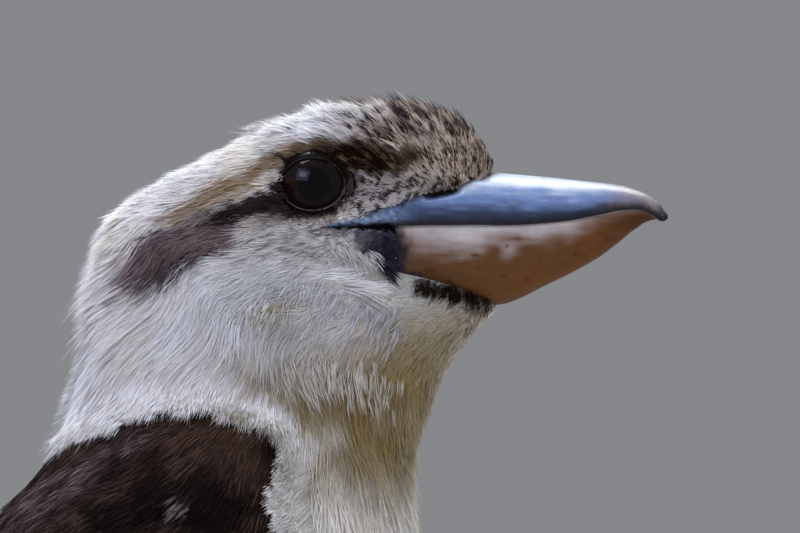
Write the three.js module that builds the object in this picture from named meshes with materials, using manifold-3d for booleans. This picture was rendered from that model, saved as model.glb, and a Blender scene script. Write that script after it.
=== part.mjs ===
// A laughing kookaburra at life size, standing at rest with its head level.
// Millimetres, +Z up, +X towards the bill. Profile points are [x, z]: x from the eye, z above the floor.
import * as THREE from "three";
import { mergeVertices } from "three/addons/utils/BufferGeometryUtils.js";
import Module from "manifold-3d";

const wasm = await Module();
wasm.setup();

// Driving dimensions
const gap = 0.3; // between pieces that touch
const roomGap = 0.5; // kept clear of the body by wings and thighs
const eyeHeight = 233;
const aroundBody = 28; // points round each body section
const sectionFullness = 0.8; // under 1 is fuller than an ellipse

// Sections of head, neck and trunk, each on a line from the back outline to the front outline.
// half is the half width, level is where along that line the section is widest.
const stations = [
  { back: [45, 235.4], front: [47, 203], half: 12.4, level: 0.5 }, // feather edge at the bill
  { back: [43, 241.5], front: [44, 200.2], half: 14, level: 0.5 }, // forehead and chin
  { back: [35.5, 249.2], front: [39.5, 193.8], half: 16, level: 0.5 },
  { back: [22, 252.6], front: [34.6, 187], half: 18.4, level: 0.48 }, // crown
  { back: [4, 252.4], front: [30, 178.3], half: 20.8, level: 0.47 }, // eye
  { back: [-16, 245.2], front: [27, 171], half: 22.8, level: 0.46 },
  { back: [-37, 234.6], front: [25.6, 165], half: 24.6, level: 0.46 }, // ear
  { back: [-49.6, 225.6], front: [25.5, 159], half: 26.4, level: 0.47 }, // nape
  { back: [-53.4, 209.5], front: [26.2, 152.5], half: 28.6, level: 0.5 },
  { back: [-58.2, 190.5], front: [27.6, 145], half: 32, level: 0.5 }, // neck
  { back: [-65.5, 170], front: [29.7, 134], half: 37.5, level: 0.5 },
  { back: [-78.5, 152.5], front: [31.6, 119], half: 43, level: 0.5 }, // shoulders
  { back: [-93.5, 134], front: [30, 100], half: 46, level: 0.5 },
  { back: [-107, 112], front: [20, 78.5], half: 46.5, level: 0.5 }, // belly
  { back: [-118.5, 90.5], front: [-4, 57.5], half: 42.5, level: 0.5 },
  { back: [-129, 71], front: [-42, 42.5], half: 33.5, level: 0.5 },
  { back: [-138.5, 58.5], front: [-88, 37.5], half: 22, level: 0.5 }, // vent
  { back: [-147, 52.5], front: [-130, 43.5], half: 13, level: 0.5 }, // tail root
];
const lastStation = stations.length - 1;
const headEnd = 7.25;
const neckEnd = 9.4;

// Hollows and swellings of the face, seen from the side.
const faceForms = [
  { x: 2, z: 233, wide: 12, high: 9, depth: -1.3 }, // eye hollow
  { x: 3, z: 244, wide: 14, high: 4, depth: 0.8 }, // brow
  { x: 19, z: 229, wide: 9, high: 6, depth: -1.2 }, // lore
  { x: 10, z: 222, wide: 14, high: 4, depth: -1.2 }, // corner of the mouth
  { x: -3, z: 208, wide: 18, high: 9, depth: 1.2 }, // cheek
];

const eye = { x: 0, z: eyeHeight, y: 11.4, radius: 9.2 };
const lid = { openWide: 7.9, openHigh: 6.7, band: 0.26, thick: 1.2, corner: 1.3 };

// Bill outlines along x
const culmenLine = [
  [-6, 236.4], [20, 237.2], [35, 236.9], [45, 236.1], [57, 235.1],
  [69, 233.8], [77, 232.7], [82.2, 231], [86, 228.6], [88.2, 225.6],
];
const gonysLine = [
  [-6, 206], [30, 203.6], [46, 203.2], [51, 204.7], [57, 207.7],
  [63, 210.5], [69, 213.8], [75, 218], [81, 222.7], [84, 224.3], [88.2, 223],
];
const billHalfLine = [
  [-6, 22.2], [1.5, 21], [10, 19], [20, 16.8], [30, 15], [40, 13.2],
  [50, 11.4], [60, 9.5], [70, 7.2], [78, 5], [83, 3.3], [86.5, 1.9], [88.2, 0.5],
];
const mouthLine = [
  [1.5, 222.2], [12, 222.5], [30, 222.9], [50.8, 223], [63, 224],
  [72, 225.6], [78, 226.7], [82, 226.7], [83.8, 225.6],
];
const hook = [[87.2, 223.5], [89, 223.5]];
const upperFeatherLine = [
  [44.9, 236.6], [40.8, 234.9], [36.8, 233], [32, 232.4], [27, 230.7],
  [22.5, 228.9], [13.6, 226.1], [6, 224],
];
const lowerFeatherLine = [
  [19.4, 222.6], [21.3, 216.8], [20.6, 210.8], [30.2, 208.3],
  [38.7, 205.9], [44.8, 203.5], [47.4, 201],
];
const nostril = { x: 31.6, y: 12.3, z: 230.7, long: 4.4, deep: 2.4, high: 1.15, slope: 0.22 };
const mouthGap = 0.4;

// Folded wing, seen from the side
const wingLower = [
  [0, 126], [-10, 110], [-35, 93], [-65, 77],
  [-95, 63], [-125, 53], [-155, 45.5], [-186, 38],
];
const wingUpper = [
  [-12, 171], [-36, 174], [-64, 156], [-90, 129],
  [-114, 98], [-131, 73], [-150, 58.5], [-186, 43],
];
const wingCoreEnd = 0.6;
const wingCoreThick = 1.8;
const wingStandOff = 0.9; // of the wing's inner face from the body
const wingTipHalf = 15; // wing tips from the middle of the tail
const wingTipX = -186;
const wingFlare = 0.2;
const wingLean = 0.6;
const vaneThick = 0.7;

// Tail feathers
const tail = {
  x: -137, z: 47.5, slope: 0.32, length: 122,
  perSide: 6, half: 10.5, spacing: 4.6, layer: 0.95,
};
const tailThick = 0.62;
const tailRoot = 4; // where the feathers start, inside the coverts
const tailGraduation = 1.7; // each pair is this much shorter than the next one in

// Legs
const legX = -46; // where the foot's toes meet
const heel = { x: legX - 14, y: 18, z: 27 };
const hip = { x: legX + 12, y: 20, z: 62 };
const ankle = { x: legX, y: 19.5, z: 4.6 };
const toeHeight = 2.3;
const toes = [
  { name: "inner", length: 17, turn: -24, root: 2.7, tip: 2 },
  { name: "middle", length: 27, turn: -1, root: 2.9, tip: 2.1 },
  { name: "outer", length: 23, turn: 15, root: 2.7, tip: 2 },
  { name: "hind", length: 14, turn: 172, root: 2.8, tip: 2.1 },
];
const clawLength = 9;
const clawGap = 0.8;
const soleHalf = [7, 5.2, 3.6];

// Colours
const finish = (color, roughness) => new THREE.MeshStandardMaterial({ color, roughness, metalness: 0 });
const creamPlumage = finish(0xe6e0d2, 0.9);
const brownPlumage = finish(0x4a3629, 0.88);
const barredPlumage = finish(0x9a5f35, 0.88);
const slateHorn = finish(0x39455a, 0.38);
const paleHorn = finish(0xcdbfa6, 0.42);
const darkEye = finish(0x1a100c, 0.08);
const lidSkin = finish(0x2c2828, 0.6);
const legSkin = finish(0x6c6a58, 0.65);
const darkClaw = finish(0x2a2522, 0.45);

// Curves
const lerp = THREE.MathUtils.lerp;
const clamp = THREE.MathUtils.clamp;
const smoothstep = THREE.MathUtils.smoothstep;

function hermite(a, b, c, d, t) {
  const before = (c - a) / 2;
  const after = (d - b) / 2;
  const squared = 3 * (c - b) - 2 * before - after;
  const cubed = 2 * (b - c) + before + after;
  return b + before * t + squared * t ** 2 + cubed * t ** 3;
}

// A smooth curve through a list, read by a place that runs from 0 to the last index.
function along(values, place) {
  const last = values.length - 1;
  const i = clamp(Math.floor(place), 0, last - 1);
  const at = (k) => values[clamp(k, 0, last)];
  return hermite(at(i - 1), at(i), at(i + 1), at(i + 2), place - i);
}

function pointAlong(points, share) {
  const place = share * (points.length - 1);
  return [0, 1].map((k) => along(points.map((p) => p[k]), place));
}

// A curve [x, value] read by x.
function heightAt(points, x) {
  let i = 0;
  while (i < points.length - 2 && x > points[i + 1][0]) i += 1;
  const share = clamp((x - points[i][0]) / (points[i + 1][0] - points[i][0]), 0, 1);
  return along(points.map((p) => p[1]), i + share);
}

function smoothMax(a, b, softness) {
  return (a + b + Math.hypot(a - b, softness)) / 2;
}

// Solids
function geometryOf(positions, index) {
  const geometry = new THREE.BufferGeometry();
  const numbers = positions.flatMap((p) => [p.x, p.y, p.z]);
  geometry.setAttribute("position", new THREE.Float32BufferAttribute(numbers, 3));
  geometry.setIndex(index);
  return geometry;
}

function signedVolume(positions, index) {
  let sum = 0;
  for (let i = 0; i < index.length; i += 3) {
    const [a, b, c] = [positions[index[i]], positions[index[i + 1]], positions[index[i + 2]]];
    sum += a.dot(b.clone().cross(c)) / 6;
  }
  return sum;
}

function solidFrom(positions, index) {
  const outward = signedVolume(positions, index) > 0;
  const faces = outward ? index : index.map((_, i) => index[i - (i % 3) + (2 - (i % 3))]);
  return solidOf(geometryOf(positions, faces));
}

function solidOf(geometry) {
  const bare = geometry.clone();
  bare.deleteAttribute("normal");
  bare.deleteAttribute("uv");
  const merged = mergeVertices(bare, 1e-4);
  return new wasm.Manifold(
    new wasm.Mesh({
      numProp: 3,
      vertProperties: new Float32Array(merged.attributes.position.array),
      triVerts: new Uint32Array(merged.index.array),
    }),
  );
}

function geometryFrom(solid) {
  const mesh = solid.getMesh();
  const geometry = new THREE.BufferGeometry();
  geometry.setAttribute("position", new THREE.BufferAttribute(new Float32Array(mesh.vertProperties), 3));
  geometry.setIndex(new THREE.BufferAttribute(new Uint32Array(mesh.triVerts), 1));
  geometry.computeVertexNormals();
  return geometry;
}

function join(solids) {
  return solids.reduce((whole, piece) => whole.add(piece));
}

function largest(solid) {
  return solid.decompose().reduce((best, piece) => (piece.volume() > best.volume() ? piece : best));
}

// Closed rings of points, one after another, with a fan at each end.
function loft(rings) {
  const count = rings[0].length;
  const positions = rings.flat();
  const index = [];
  for (let i = 0; i < rings.length - 1; i += 1) {
    for (let j = 0; j < count; j += 1) {
      const [a, b] = [i * count + j, i * count + ((j + 1) % count)];
      index.push(a, b, a + count, b, b + count, a + count);
    }
  }
  const ends = [
    [rings[0], 0, true],
    [rings.at(-1), (rings.length - 1) * count, false],
  ];
  for (const [ring, start, turned] of ends) {
    const middle = ring.reduce((sum, p) => sum.add(p), new THREE.Vector3()).divideScalar(count);
    const hub = positions.push(middle) - 1;
    for (let j = 0; j < count; j += 1) {
      const [a, b] = [start + j, start + ((j + 1) % count)];
      index.push(...(turned ? [b, a, hub] : [a, b, hub]));
    }
  }
  return solidFrom(positions, index);
}

// A thin plate: point(u, v, face) gives its two faces, with u and v from 0 to 1 and face 1 or -1.
function plate(stepsU, stepsV, point) {
  const positions = [];
  for (const face of [1, -1]) {
    for (let i = 0; i <= stepsU; i += 1) {
      for (let j = 0; j <= stepsV; j += 1) positions.push(point(i / stepsU, j / stepsV, face));
    }
  }
  const rowLength = stepsV + 1;
  const under = (stepsU + 1) * rowLength;
  const index = [];
  for (let i = 0; i < stepsU; i += 1) {
    for (let j = 0; j < stepsV; j += 1) {
      const a = i * rowLength + j;
      const [b, c, d] = [a + 1, a + rowLength, a + rowLength + 1];
      index.push(a, b, d, a, d, c);
      index.push(under + b, under + a, under + d, under + d, under + a, under + c);
    }
  }
  const wall = (a, b) => index.push(b, a, under + a, b, under + a, under + b);
  for (let j = 0; j < stepsV; j += 1) {
    wall(j, j + 1);
    wall(stepsU * rowLength + j + 1, stepsU * rowLength + j);
  }
  for (let i = 0; i < stepsU; i += 1) {
    wall((i + 1) * rowLength, i * rowLength);
    wall(i * rowLength + stepsV, (i + 1) * rowLength + stepsV);
  }
  return solidFrom(positions, index);
}

// A tube of changing radius along points.
function limb(points, radii, sides, flatten = 1) {
  const curve = new THREE.CatmullRomCurve3(points);
  const steps = (points.length - 1) * 2;
  const sideways = new THREE.Vector3(0, 1, 0);
  const rings = [];
  for (let i = 0; i <= steps; i += 1) {
    const share = i / steps;
    const centre = curve.getPoint(share);
    const tangent = curve.getTangent(share);
    const across = sideways.clone().addScaledVector(tangent, -tangent.dot(sideways)).normalize();
    const up = tangent.clone().cross(across);
    const radius = along(radii, share * (radii.length - 1));
    rings.push(
      Array.from({ length: sides }, (_, j) => {
        const angle = (2 * Math.PI * j) / sides;
        return centre
          .clone()
          .addScaledVector(across, radius * Math.cos(angle) * flatten)
          .addScaledVector(up, radius * Math.sin(angle));
      }),
    );
  }
  return loft(rings);
}

// A prism across the bird from an outline seen from the side.
function sidePrism(outline) {
  const shape = new THREE.Shape(outline.map(([x, z]) => new THREE.Vector2(x, z)));
  const halfDepth = 60;
  const geometry = new THREE.ExtrudeGeometry(shape, { depth: 2 * halfDepth, bevelEnabled: false });
  geometry.rotateX(Math.PI / 2);
  geometry.translate(0, halfDepth, 0);
  return solidOf(geometry);
}

function grownOutline(outline, distance) {
  const turning = THREE.ShapeUtils.area(outline.map(([x, z]) => ({ x, y: z }))) > 0 ? 1 : -1;
  const count = outline.length;
  return outline.map((point, i) => {
    const [before, after] = [outline[(i + count - 1) % count], outline[(i + 1) % count]];
    const normals = [[before, point], [point, after]].map(([a, b]) => {
      const length = Math.hypot(b[0] - a[0], b[1] - a[1]);
      return [(turning * (b[1] - a[1])) / length, (-turning * (b[0] - a[0])) / length];
    });
    const sum = [normals[0][0] + normals[1][0], normals[0][1] + normals[1][1]];
    const stretch = (2 * distance) / Math.max(sum[0] ** 2 + sum[1] ** 2, 0.6);
    return [point[0] + sum[0] * stretch, point[1] + sum[1] * stretch];
  });
}

const mirrored = (solid) => solid.mirror([0, 1, 0]);

// Body surface
function stationAt(place) {
  const read = (pick) => along(stations.map(pick), place);
  return {
    back: [read((s) => s.back[0]), read((s) => s.back[1])],
    front: [read((s) => s.front[0]), read((s) => s.front[1])],
    half: read((s) => s.half),
    level: read((s) => s.level),
  };
}

function faceForm(x, z) {
  return faceForms.reduce((sum, form) => {
    const away = ((x - form.x) / form.wide) ** 2 + ((z - form.z) / form.high) ** 2;
    return sum + form.depth * Math.exp(-away);
  }, 0);
}

// turn runs from 0 at the back over the left side to PI at the front, and on round the right side.
function skinPoint(place, turn) {
  const { back, front, half, level } = stationAt(place);
  const down = ((1 - Math.cos(turn)) / 2) ** (Math.log(level) / Math.log(0.5));
  const x = lerp(back[0], front[0], down);
  const z = lerp(back[1], front[1], down);
  const roundness = Math.abs(Math.sin(turn));
  const width = half * roundness ** sectionFullness + faceForm(x, z) * roundness;
  return new THREE.Vector3(x, Math.sign(Math.sin(turn)) * width, z);
}

function skinNormal(place, turn) {
  const step = 0.02;
  const alongBody = skinPoint(place + step, turn).sub(skinPoint(place - step, turn));
  const aroundRing = skinPoint(place, turn + step).sub(skinPoint(place, turn - step));
  return aroundRing.cross(alongBody).normalize();
}

function skinAt(place, turn, height) {
  return skinPoint(place, turn).addScaledVector(skinNormal(place, turn), height);
}

function bodyRing(place, height = 0) {
  return Array.from({ length: aroundBody }, (_, j) => {
    const turn = (2 * Math.PI * j) / aroundBody;
    return height ? skinAt(place, turn, height) : skinPoint(place, turn);
  });
}

// The stretch of body between two places. Its ends are drawn in, which leaves the gap to its neighbours.
// With a height it is the room that others keep clear of, and runs to the places themselves.
function bodyStretch(from, to, steps, height = 0) {
  const rings = Array.from({ length: steps + 1 }, (_, i) => bodyRing(lerp(from, to, i / steps), height));
  const drawIn = (ring, place, sign) => {
    const { back, front } = stationAt(place);
    const normal = new THREE.Vector3(front[1] - back[1], 0, back[0] - front[0]).normalize();
    if (!height) ring.forEach((p) => p.addScaledVector(normal, (sign * gap) / 2));
  };
  drawIn(rings[0], from, 1);
  drawIn(rings.at(-1), to, -1);
  return loft(rings);
}

// The body where it is seen at x, z from the side: its half width, and how far down its section that is.
function sideSection(x, z) {
  const ahead = (place) => {
    const { back, front } = stationAt(place);
    return (front[0] - back[0]) * (z - back[1]) - (front[1] - back[1]) * (x - back[0]) > 0;
  };
  let [low, high] = [0, lastStation];
  for (let i = 0; i < 24; i += 1) {
    const middle = (low + high) / 2;
    if (ahead(middle)) high = middle;
    else low = middle;
  }
  const { back, front, half, level } = stationAt(low);
  const rib = [front[0] - back[0], front[1] - back[1]];
  const share = ((x - back[0]) * rib[0] + (z - back[1]) * rib[1]) / (rib[0] ** 2 + rib[1] ** 2);
  const down = clamp(share, 0, 1);
  const even = down ** (Math.log(0.5) / Math.log(level));
  return { down, width: half * (2 * Math.sqrt(even * (1 - even))) ** sectionFullness };
}

// Bill
function billRing(x) {
  const top = heightAt(culmenLine, x);
  const low = heightAt(gonysLine, x);
  const middle = heightAt(mouthLine, clamp(x, 1.5, 83));
  const half = heightAt(billHalfLine, x);
  const sides = 24;
  return Array.from({ length: sides }, (_, j) => {
    const turn = (2 * Math.PI * j) / sides;
    const rise = Math.cos(turn);
    const width = half * Math.sign(Math.sin(turn)) * Math.abs(Math.sin(turn)) ** (rise > 0 ? 0.92 : 0.8);
    const height = rise > 0 ? (top - middle) * rise ** 0.95 : -(middle - low) * (-rise) ** 0.9;
    return new THREE.Vector3(x, width, middle + height);
  });
}

function makeBill() {
  const reach = culmenLine.at(-1)[0];
  const steps = 22;
  const whole = loft(
    Array.from({ length: steps + 1 }, (_, i) => {
      const share = 1 - (1 - i / steps) ** 1.5;
      return billRing(lerp(culmenLine[0][0], reach, share));
    }),
  );
  const besideMouth = (side) => mouthLine.map(([x, z]) => [x, z + (side * mouthGap) / 2]);
  const [aboveMouth, belowMouth] = [besideMouth(1), besideMouth(-1)];
  const upperOutline = [...aboveMouth, ...hook, [90, 239], [47, 239], ...upperFeatherLine];
  const edgeOfGape = lowerFeatherLine[0][0];
  const lowerOutline = [
    ...lowerFeatherLine,
    [90, 200],
    [84.6, 224],
    ...belowMouth.filter(([x]) => x > edgeOfGape + 1).reverse(),
  ];
  const nostrilHollow = solidOf(
    new THREE.SphereGeometry(1, 12, 8)
      .scale(nostril.long, nostril.deep, nostril.high)
      .rotateY(-nostril.slope)
      .translate(nostril.x, nostril.y, nostril.z),
  );
  return {
    upper: largest(
      whole.intersect(sidePrism(upperOutline)).subtract(nostrilHollow).subtract(mirrored(nostrilHollow)),
    ),
    lower: largest(whole.intersect(sidePrism(lowerOutline))),
    room: join([upperOutline, lowerOutline].map((outline) => sidePrism(grownOutline(outline, gap)))),
  };
}

// Eyes
function eyeBall(radius) {
  return solidOf(new THREE.IcosahedronGeometry(radius, 3).translate(eye.x, eye.y, eye.z));
}

// A band on a sphere round the opening of the lids. depths are the radii of its inner and outer face.
function lidBand(depths, inset, band) {
  const sides = 22;
  return Array.from({ length: sides }, (_, i) => {
    const turn = (2 * Math.PI * i) / sides;
    const corner = lid.corner * Math.max(Math.cos(turn), 0) ** 6;
    const open = [(lid.openWide + corner) * Math.cos(turn), lid.openHigh * Math.sin(turn)];
    const near = Math.asin(Math.hypot(...open) / (eye.radius + 0.6)) - inset;
    const lean = Math.atan2(open[1], open[0]);
    const at = (radius, tilt) =>
      new THREE.Vector3(
        eye.x + radius * Math.sin(tilt) * Math.cos(lean),
        eye.y + radius * Math.cos(tilt),
        eye.z + radius * Math.sin(tilt) * Math.sin(lean),
      );
    const far = near + band;
    const between = (depths[0] + depths[1]) / 2;
    return [
      at(depths[0], near),
      at(between, near - 0.02),
      at(depths[1], (near + far) / 2),
      at(depths[1], far),
      at(depths[0], far),
    ];
  });
}

function ringSolid(sections) {
  const count = sections[0].length;
  const index = [];
  sections.forEach((_, i) => {
    const next = (i + 1) % sections.length;
    for (let j = 0; j < count; j += 1) {
      const [a, b] = [i * count + j, i * count + ((j + 1) % count)];
      const [c, d] = [next * count + j, next * count + ((j + 1) % count)];
      index.push(a, b, c, b, d, c);
    }
  });
  return solidFrom(sections.flat(), index);
}

// Head
function crownLocks() {
  const locks = [];
  const rows = 8;
  for (let row = 0; row < rows; row += 1) {
    const share = row / (rows - 1);
    const place = lerp(0.7, 6.3, share);
    const inRow = row % 2 ? 3 : 4;
    for (let k = 0; k < inRow; k += 1) {
      const side = (k - (inRow - 1) / 2) / 2;
      const turn = side * lerp(0.62, 0.95, share);
      const sway = Math.sin(row * 2.4 + k * 1.7);
      const reach = lerp(1.15, 0.62, share) * (1 + 0.15 * sway);
      const rise = lerp(3, 3.6, share) * (1 - 0.35 * Math.abs(side)) + 0.5 * sway;
      const breadth = lerp(0.2, 0.18, share);
      locks.push(
        plate(2, 1, (u, v, face) => {
          const across = (v - 0.5) * 2 * breadth * (1 - 0.9 * u ** 1.6);
          const height = -1.8 + (1.8 + rise) * u ** 1.15;
          const thick = lerp(0.8, 0.3, u);
          return skinAt(place + reach * u, turn + across + 0.05 * sway * u, height + (face * thick) / 2);
        }),
      );
    }
  }
  return locks;
}

// Wing
function wingPoint(share, level) {
  const [low, high] = [pointAlong(wingLower, share), pointAlong(wingUpper, share)];
  return [lerp(low[0], high[0], level), lerp(low[1], high[1], level)];
}

// Distance of the wing from the bird's middle. Its upper edge leans in over the back.
function wingDepth(x, z) {
  const { down, width } = sideSection(x, z);
  const leaning = smoothstep(x, -160, -125) * (1 - smoothstep(down, 0, 0.5));
  const behindBody = (wingTipHalf + wingFlare * (x - wingTipX)) * (1 - wingLean * leaning);
  return smoothMax(width, behindBody - 1.2 * Math.max(0, x + 105), 5);
}

function onWing([x, z], height) {
  return new THREE.Vector3(x, wingDepth(x, z) + height, z);
}

// One feather of the folded wing, from one [share, level] to another.
// Its lower edge lies over the next feather down.
function wingVane({ from, to, half, base, lift, rise, steps = 5 }) {
  const centre = (u) => wingPoint(lerp(from[0], to[0], u), lerp(from[1], to[1], u));
  return plate(steps, 1, (u, v, face) => {
    const [a, b] = [centre(Math.max(u - 0.05, 0)), centre(Math.min(u + 0.05, 1))];
    const length = Math.hypot(b[0] - a[0], b[1] - a[1]);
    const normal = [-(b[1] - a[1]) / length, (b[0] - a[0]) / length];
    const outline = Math.min(1, 0.45 + 1.6 * u) * Math.sqrt(Math.max(1 - u ** 6, 0.03));
    const side = (0.5 - v) * 2;
    const [x, z] = centre(u);
    const spot = [x - normal[0] * side * half * outline, z - normal[1] * side * half * outline];
    const sunk = (1 - u) ** 4; // the root lies in the wing's core
    const height = lerp(base + rise * u * u + lift * (0.5 - side / 2), wingCoreThick, sunk);
    return onWing(spot, height + (face * vaneThick) / 2);
  });
}

function wingRow({ count, from, to, levels, tipLevels, half, base, layer, lift, rise, steps }) {
  return Array.from({ length: count }, (_, i) => {
    const share = i / (count - 1);
    return wingVane({
      from: [lerp(from[0], from[1], share), lerp(levels[0], levels[1], share)],
      to: [lerp(to[0], to[1], share), lerp(tipLevels[0], tipLevels[1], share)],
      half,
      base: base + layer * i,
      lift,
      rise,
      steps,
    });
  });
}

function makeWing() {
  const core = plate(8, 5, (u, v, face) => {
    const edge = Math.min(1, 6 * v, 6 * (1 - v), 8 * u + 0.2);
    const spot = wingPoint(u * wingCoreEnd, lerp(0.02, 0.98, v));
    return onWing(spot, face > 0 ? lerp(1.2, wingCoreThick, edge) + wingStandOff : wingStandOff);
  });
  const rows = [
    // primaries, lowest layer
    wingRow({ count: 4, from: [0.5, 0.52], to: [1, 0.86], levels: [0.14, 0.5], tipLevels: [0.25, 0.62],
      half: 6, base: 0.6, layer: 0.7, lift: 0.8, rise: 0, steps: 3 }),
    // secondaries and tertials
    wingRow({ count: 6, from: [0.42, 0.4], to: [0.8, 0.74], levels: [0.1, 0.93], tipLevels: [0.06, 0.94],
      half: 7.6, base: 2.7, layer: 0.5, lift: 2.2, rise: 2, steps: 3 }),
    // greater coverts
    wingRow({ count: 5, from: [0.27, 0.27], to: [0.53, 0.5], levels: [0.07, 0.92], tipLevels: [0.07, 0.93],
      half: 9, base: 3, layer: 0.1, lift: 1.8, rise: 3.6, steps: 2 }),
    // median coverts
    wingRow({ count: 5, from: [0.14, 0.15], to: [0.36, 0.35], levels: [0.06, 0.93], tipLevels: [0.06, 0.93],
      half: 9, base: 3, layer: 0.1, lift: 1.8, rise: 1.6, steps: 2 }),
    // lesser coverts
    wingRow({ count: 4, from: [0.03, 0.04], to: [0.22, 0.23], levels: [0.08, 0.92], tipLevels: [0.07, 0.92],
      half: 9.6, base: 3, layer: 0.1, lift: 1.8, rise: 1.6, steps: 2 }),
  ];
  return join([core, ...rows.flat()]);
}

// Tail
function tailPoint(distance, across, height) {
  const [c, s] = [Math.cos(tail.slope), Math.sin(tail.slope)];
  return new THREE.Vector3(tail.x - distance * c - height * s, across, tail.z - distance * s + height * c);
}

function makeTail() {
  const stack = [];
  for (let i = 0; i < tail.perSide; i += 1) {
    for (const side of [1, -1]) {
      const centred = i < 2 ? 2 * i + (side > 0 ? 0 : 1) : i + 2;
      const height = 2.4 - centred * tail.layer;
      const offset = side * tail.spacing * (i + 0.5);
      const length = tail.length - tailGraduation * i * (1 + 0.25 * i);
      stack.push(
        plate(4, 2, (u, v, face) => {
          const outline = Math.min(1, 0.28 + 1.5 * u) * Math.sqrt(Math.max(1 - u ** 7, 0.05));
          const across = offset * lerp(0.12, 1, u) + (v - 0.5) * 2 * tail.half * outline;
          const crown = -0.0035 * across * across;
          return tailPoint(lerp(tailRoot, length, u), across, height + crown + (face * tailThick) / 2);
        }),
      );
    }
  }
  const rootSteps = 3;
  const coverts = loft(
    Array.from({ length: rootSteps + 1 }, (_, i) => {
      const share = i / rootSteps;
      const sides = 14;
      const [first, last] = [bodyStretchEnd(), { wide: 15, high: 2.2, drop: -1, at: 34 }];
      return Array.from({ length: sides }, (__, j) => {
        const turn = (2 * Math.PI * j) / sides;
        const flat = tailPoint(
          last.at,
          last.wide * Math.sin(turn),
          last.drop + last.high * Math.cos(turn),
        );
        return first(turn).lerp(flat, share).add(
          tailPoint(0, 0, 2.4 * Math.sin(Math.PI * share) * Math.cos(turn)).sub(tailPoint(0, 0, 0)),
        );
      });
    }),
  );
  return join([coverts, ...stack]);
}

// The last section of the trunk, moved on by the gap: the tail's root meets it.
function bodyStretchEnd() {
  const { back, front } = stations[lastStation];
  const normal = new THREE.Vector3(front[1] - back[1], 0, back[0] - front[0]).normalize();
  return (turn) => skinPoint(lastStation, turn).addScaledVector(normal, gap / 2);
}

// Legs
const vector = ({ x, y, z }) => new THREE.Vector3(x, y, z);

const grown = (radii, extra) => radii.map((radius) => radius + extra);

function makeThigh(extra = 0) {
  const low = vector(heel).lerp(vector(hip), 0.03);
  low.addScaledVector(vector(heel).sub(vector(hip)).normalize(), extra);
  return limb([vector(hip), vector(hip).lerp(low, 0.5), low], grown([18, 16, 11.5, 5.2], extra), 14, 0.85);
}

function makeTarsus() {
  const top = vector(heel);
  const foot = vector(ankle);
  return limb([top, top.clone().lerp(foot, 0.5), foot], [3.9, 2.9, 2.7, 3.2], 10, 0.9);
}

function toePath({ length, turn }) {
  const angle = THREE.MathUtils.degToRad(turn);
  const direction = new THREE.Vector3(Math.cos(angle), Math.sin(angle), 0);
  const start = new THREE.Vector3(ankle.x, ankle.y, toeHeight + 0.6);
  return [0, 0.35, 0.7, 1].map((share) => {
    const knuckle = 0.35 * Math.sin(share * Math.PI * 2.4);
    return start
      .clone()
      .addScaledVector(direction, length * share)
      .setZ(lerp(toeHeight + 0.6, toeHeight - 0.2, share) + knuckle);
  });
}

function makeFoot(extra = 0) {
  const pads = toes.map((toe) => {
    const radii = [toe.root, toe.root * 0.92, toe.root * 0.9, toe.tip];
    return limb(toePath(toe), grown(radii, extra), 8);
  });
  const sole = solidOf(
    new THREE.SphereGeometry(1, 10, 6)
      .scale(...grown(soleHalf, extra))
      .translate(ankle.x + 1.5, ankle.y, toeHeight + 0.3),
  );
  const floor = solidOf(new THREE.BoxGeometry(200, 200, 20).translate(ankle.x, ankle.y, -10));
  return join([sole, ...pads]).subtract(floor);
}

function makeClaw(toe) {
  const path = toePath(toe);
  const end = path.at(-1);
  const forward = end.clone().sub(path.at(-2)).setZ(0).normalize();
  const start = end.clone().addScaledVector(forward, clawGap);
  const points = [[0, 0], [0.4, 0.1], [0.75, -0.08], [1, -0.2]].map(([ahead, up]) =>
    start.clone().addScaledVector(forward, clawLength * ahead).add(new THREE.Vector3(0, 0, clawLength * up)),
  );
  return limb(points, [toe.tip * 0.8, toe.tip * 0.72, toe.tip * 0.45, 0.25], 6, 0.75);
}

// Assembly
const bill = makeBill();
const bodyRoom = bodyStretch(0, lastStation, 40, roomGap);

function makeHead() {
  const ball = eyeBall(eye.radius + gap);
  const lidRoom = ringSolid(lidBand([eye.radius - 0.5, eye.radius + 4], 0.03, lid.band + 0.07));
  const sockets = join([ball, lidRoom]);
  const neckRoom = bodyStretch(headEnd, neckEnd, 6, gap);
  const whole = join([bodyStretch(0, headEnd, 16), ...crownLocks()]);
  return largest(whole.subtract(bill.room).subtract(sockets).subtract(mirrored(sockets)).subtract(neckRoom));
}

const kookaburra = new THREE.Group();

function place(name, solid, material) {
  const mesh = new THREE.Mesh(geometryFrom(solid), material);
  mesh.name = name;
  kookaburra.add(mesh);
}

function placePair(name, solid, material) {
  place(name + "_left", solid, material);
  place(name + "_right", mirrored(solid), material);
}

place("head", makeHead(), creamPlumage);
place("neck", bodyStretch(headEnd, neckEnd, 6), creamPlumage);
place("torso", bodyStretch(neckEnd, lastStation, 15), brownPlumage);
place("tail", largest(makeTail()), barredPlumage);
place("upper_bill", bill.upper, slateHorn);
place("lower_bill", bill.lower, paleHorn);
placePair("eye", eyeBall(eye.radius), darkEye);
placePair(
  "eyelid",
  ringSolid(lidBand([eye.radius + roomGap, eye.radius + lid.thick], 0, lid.band)),
  lidSkin,
);
placePair("wing", largest(makeWing().subtract(bodyRoom)), brownPlumage);

placePair("thigh", largest(makeThigh().subtract(bodyRoom)), creamPlumage);
placePair("tarsus", largest(makeTarsus().subtract(makeThigh(gap)).subtract(makeFoot(gap))), legSkin);
placePair("foot", makeFoot(), legSkin);
for (const toe of toes) placePair("claw_" + toe.name, makeClaw(toe), darkClaw);

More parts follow.
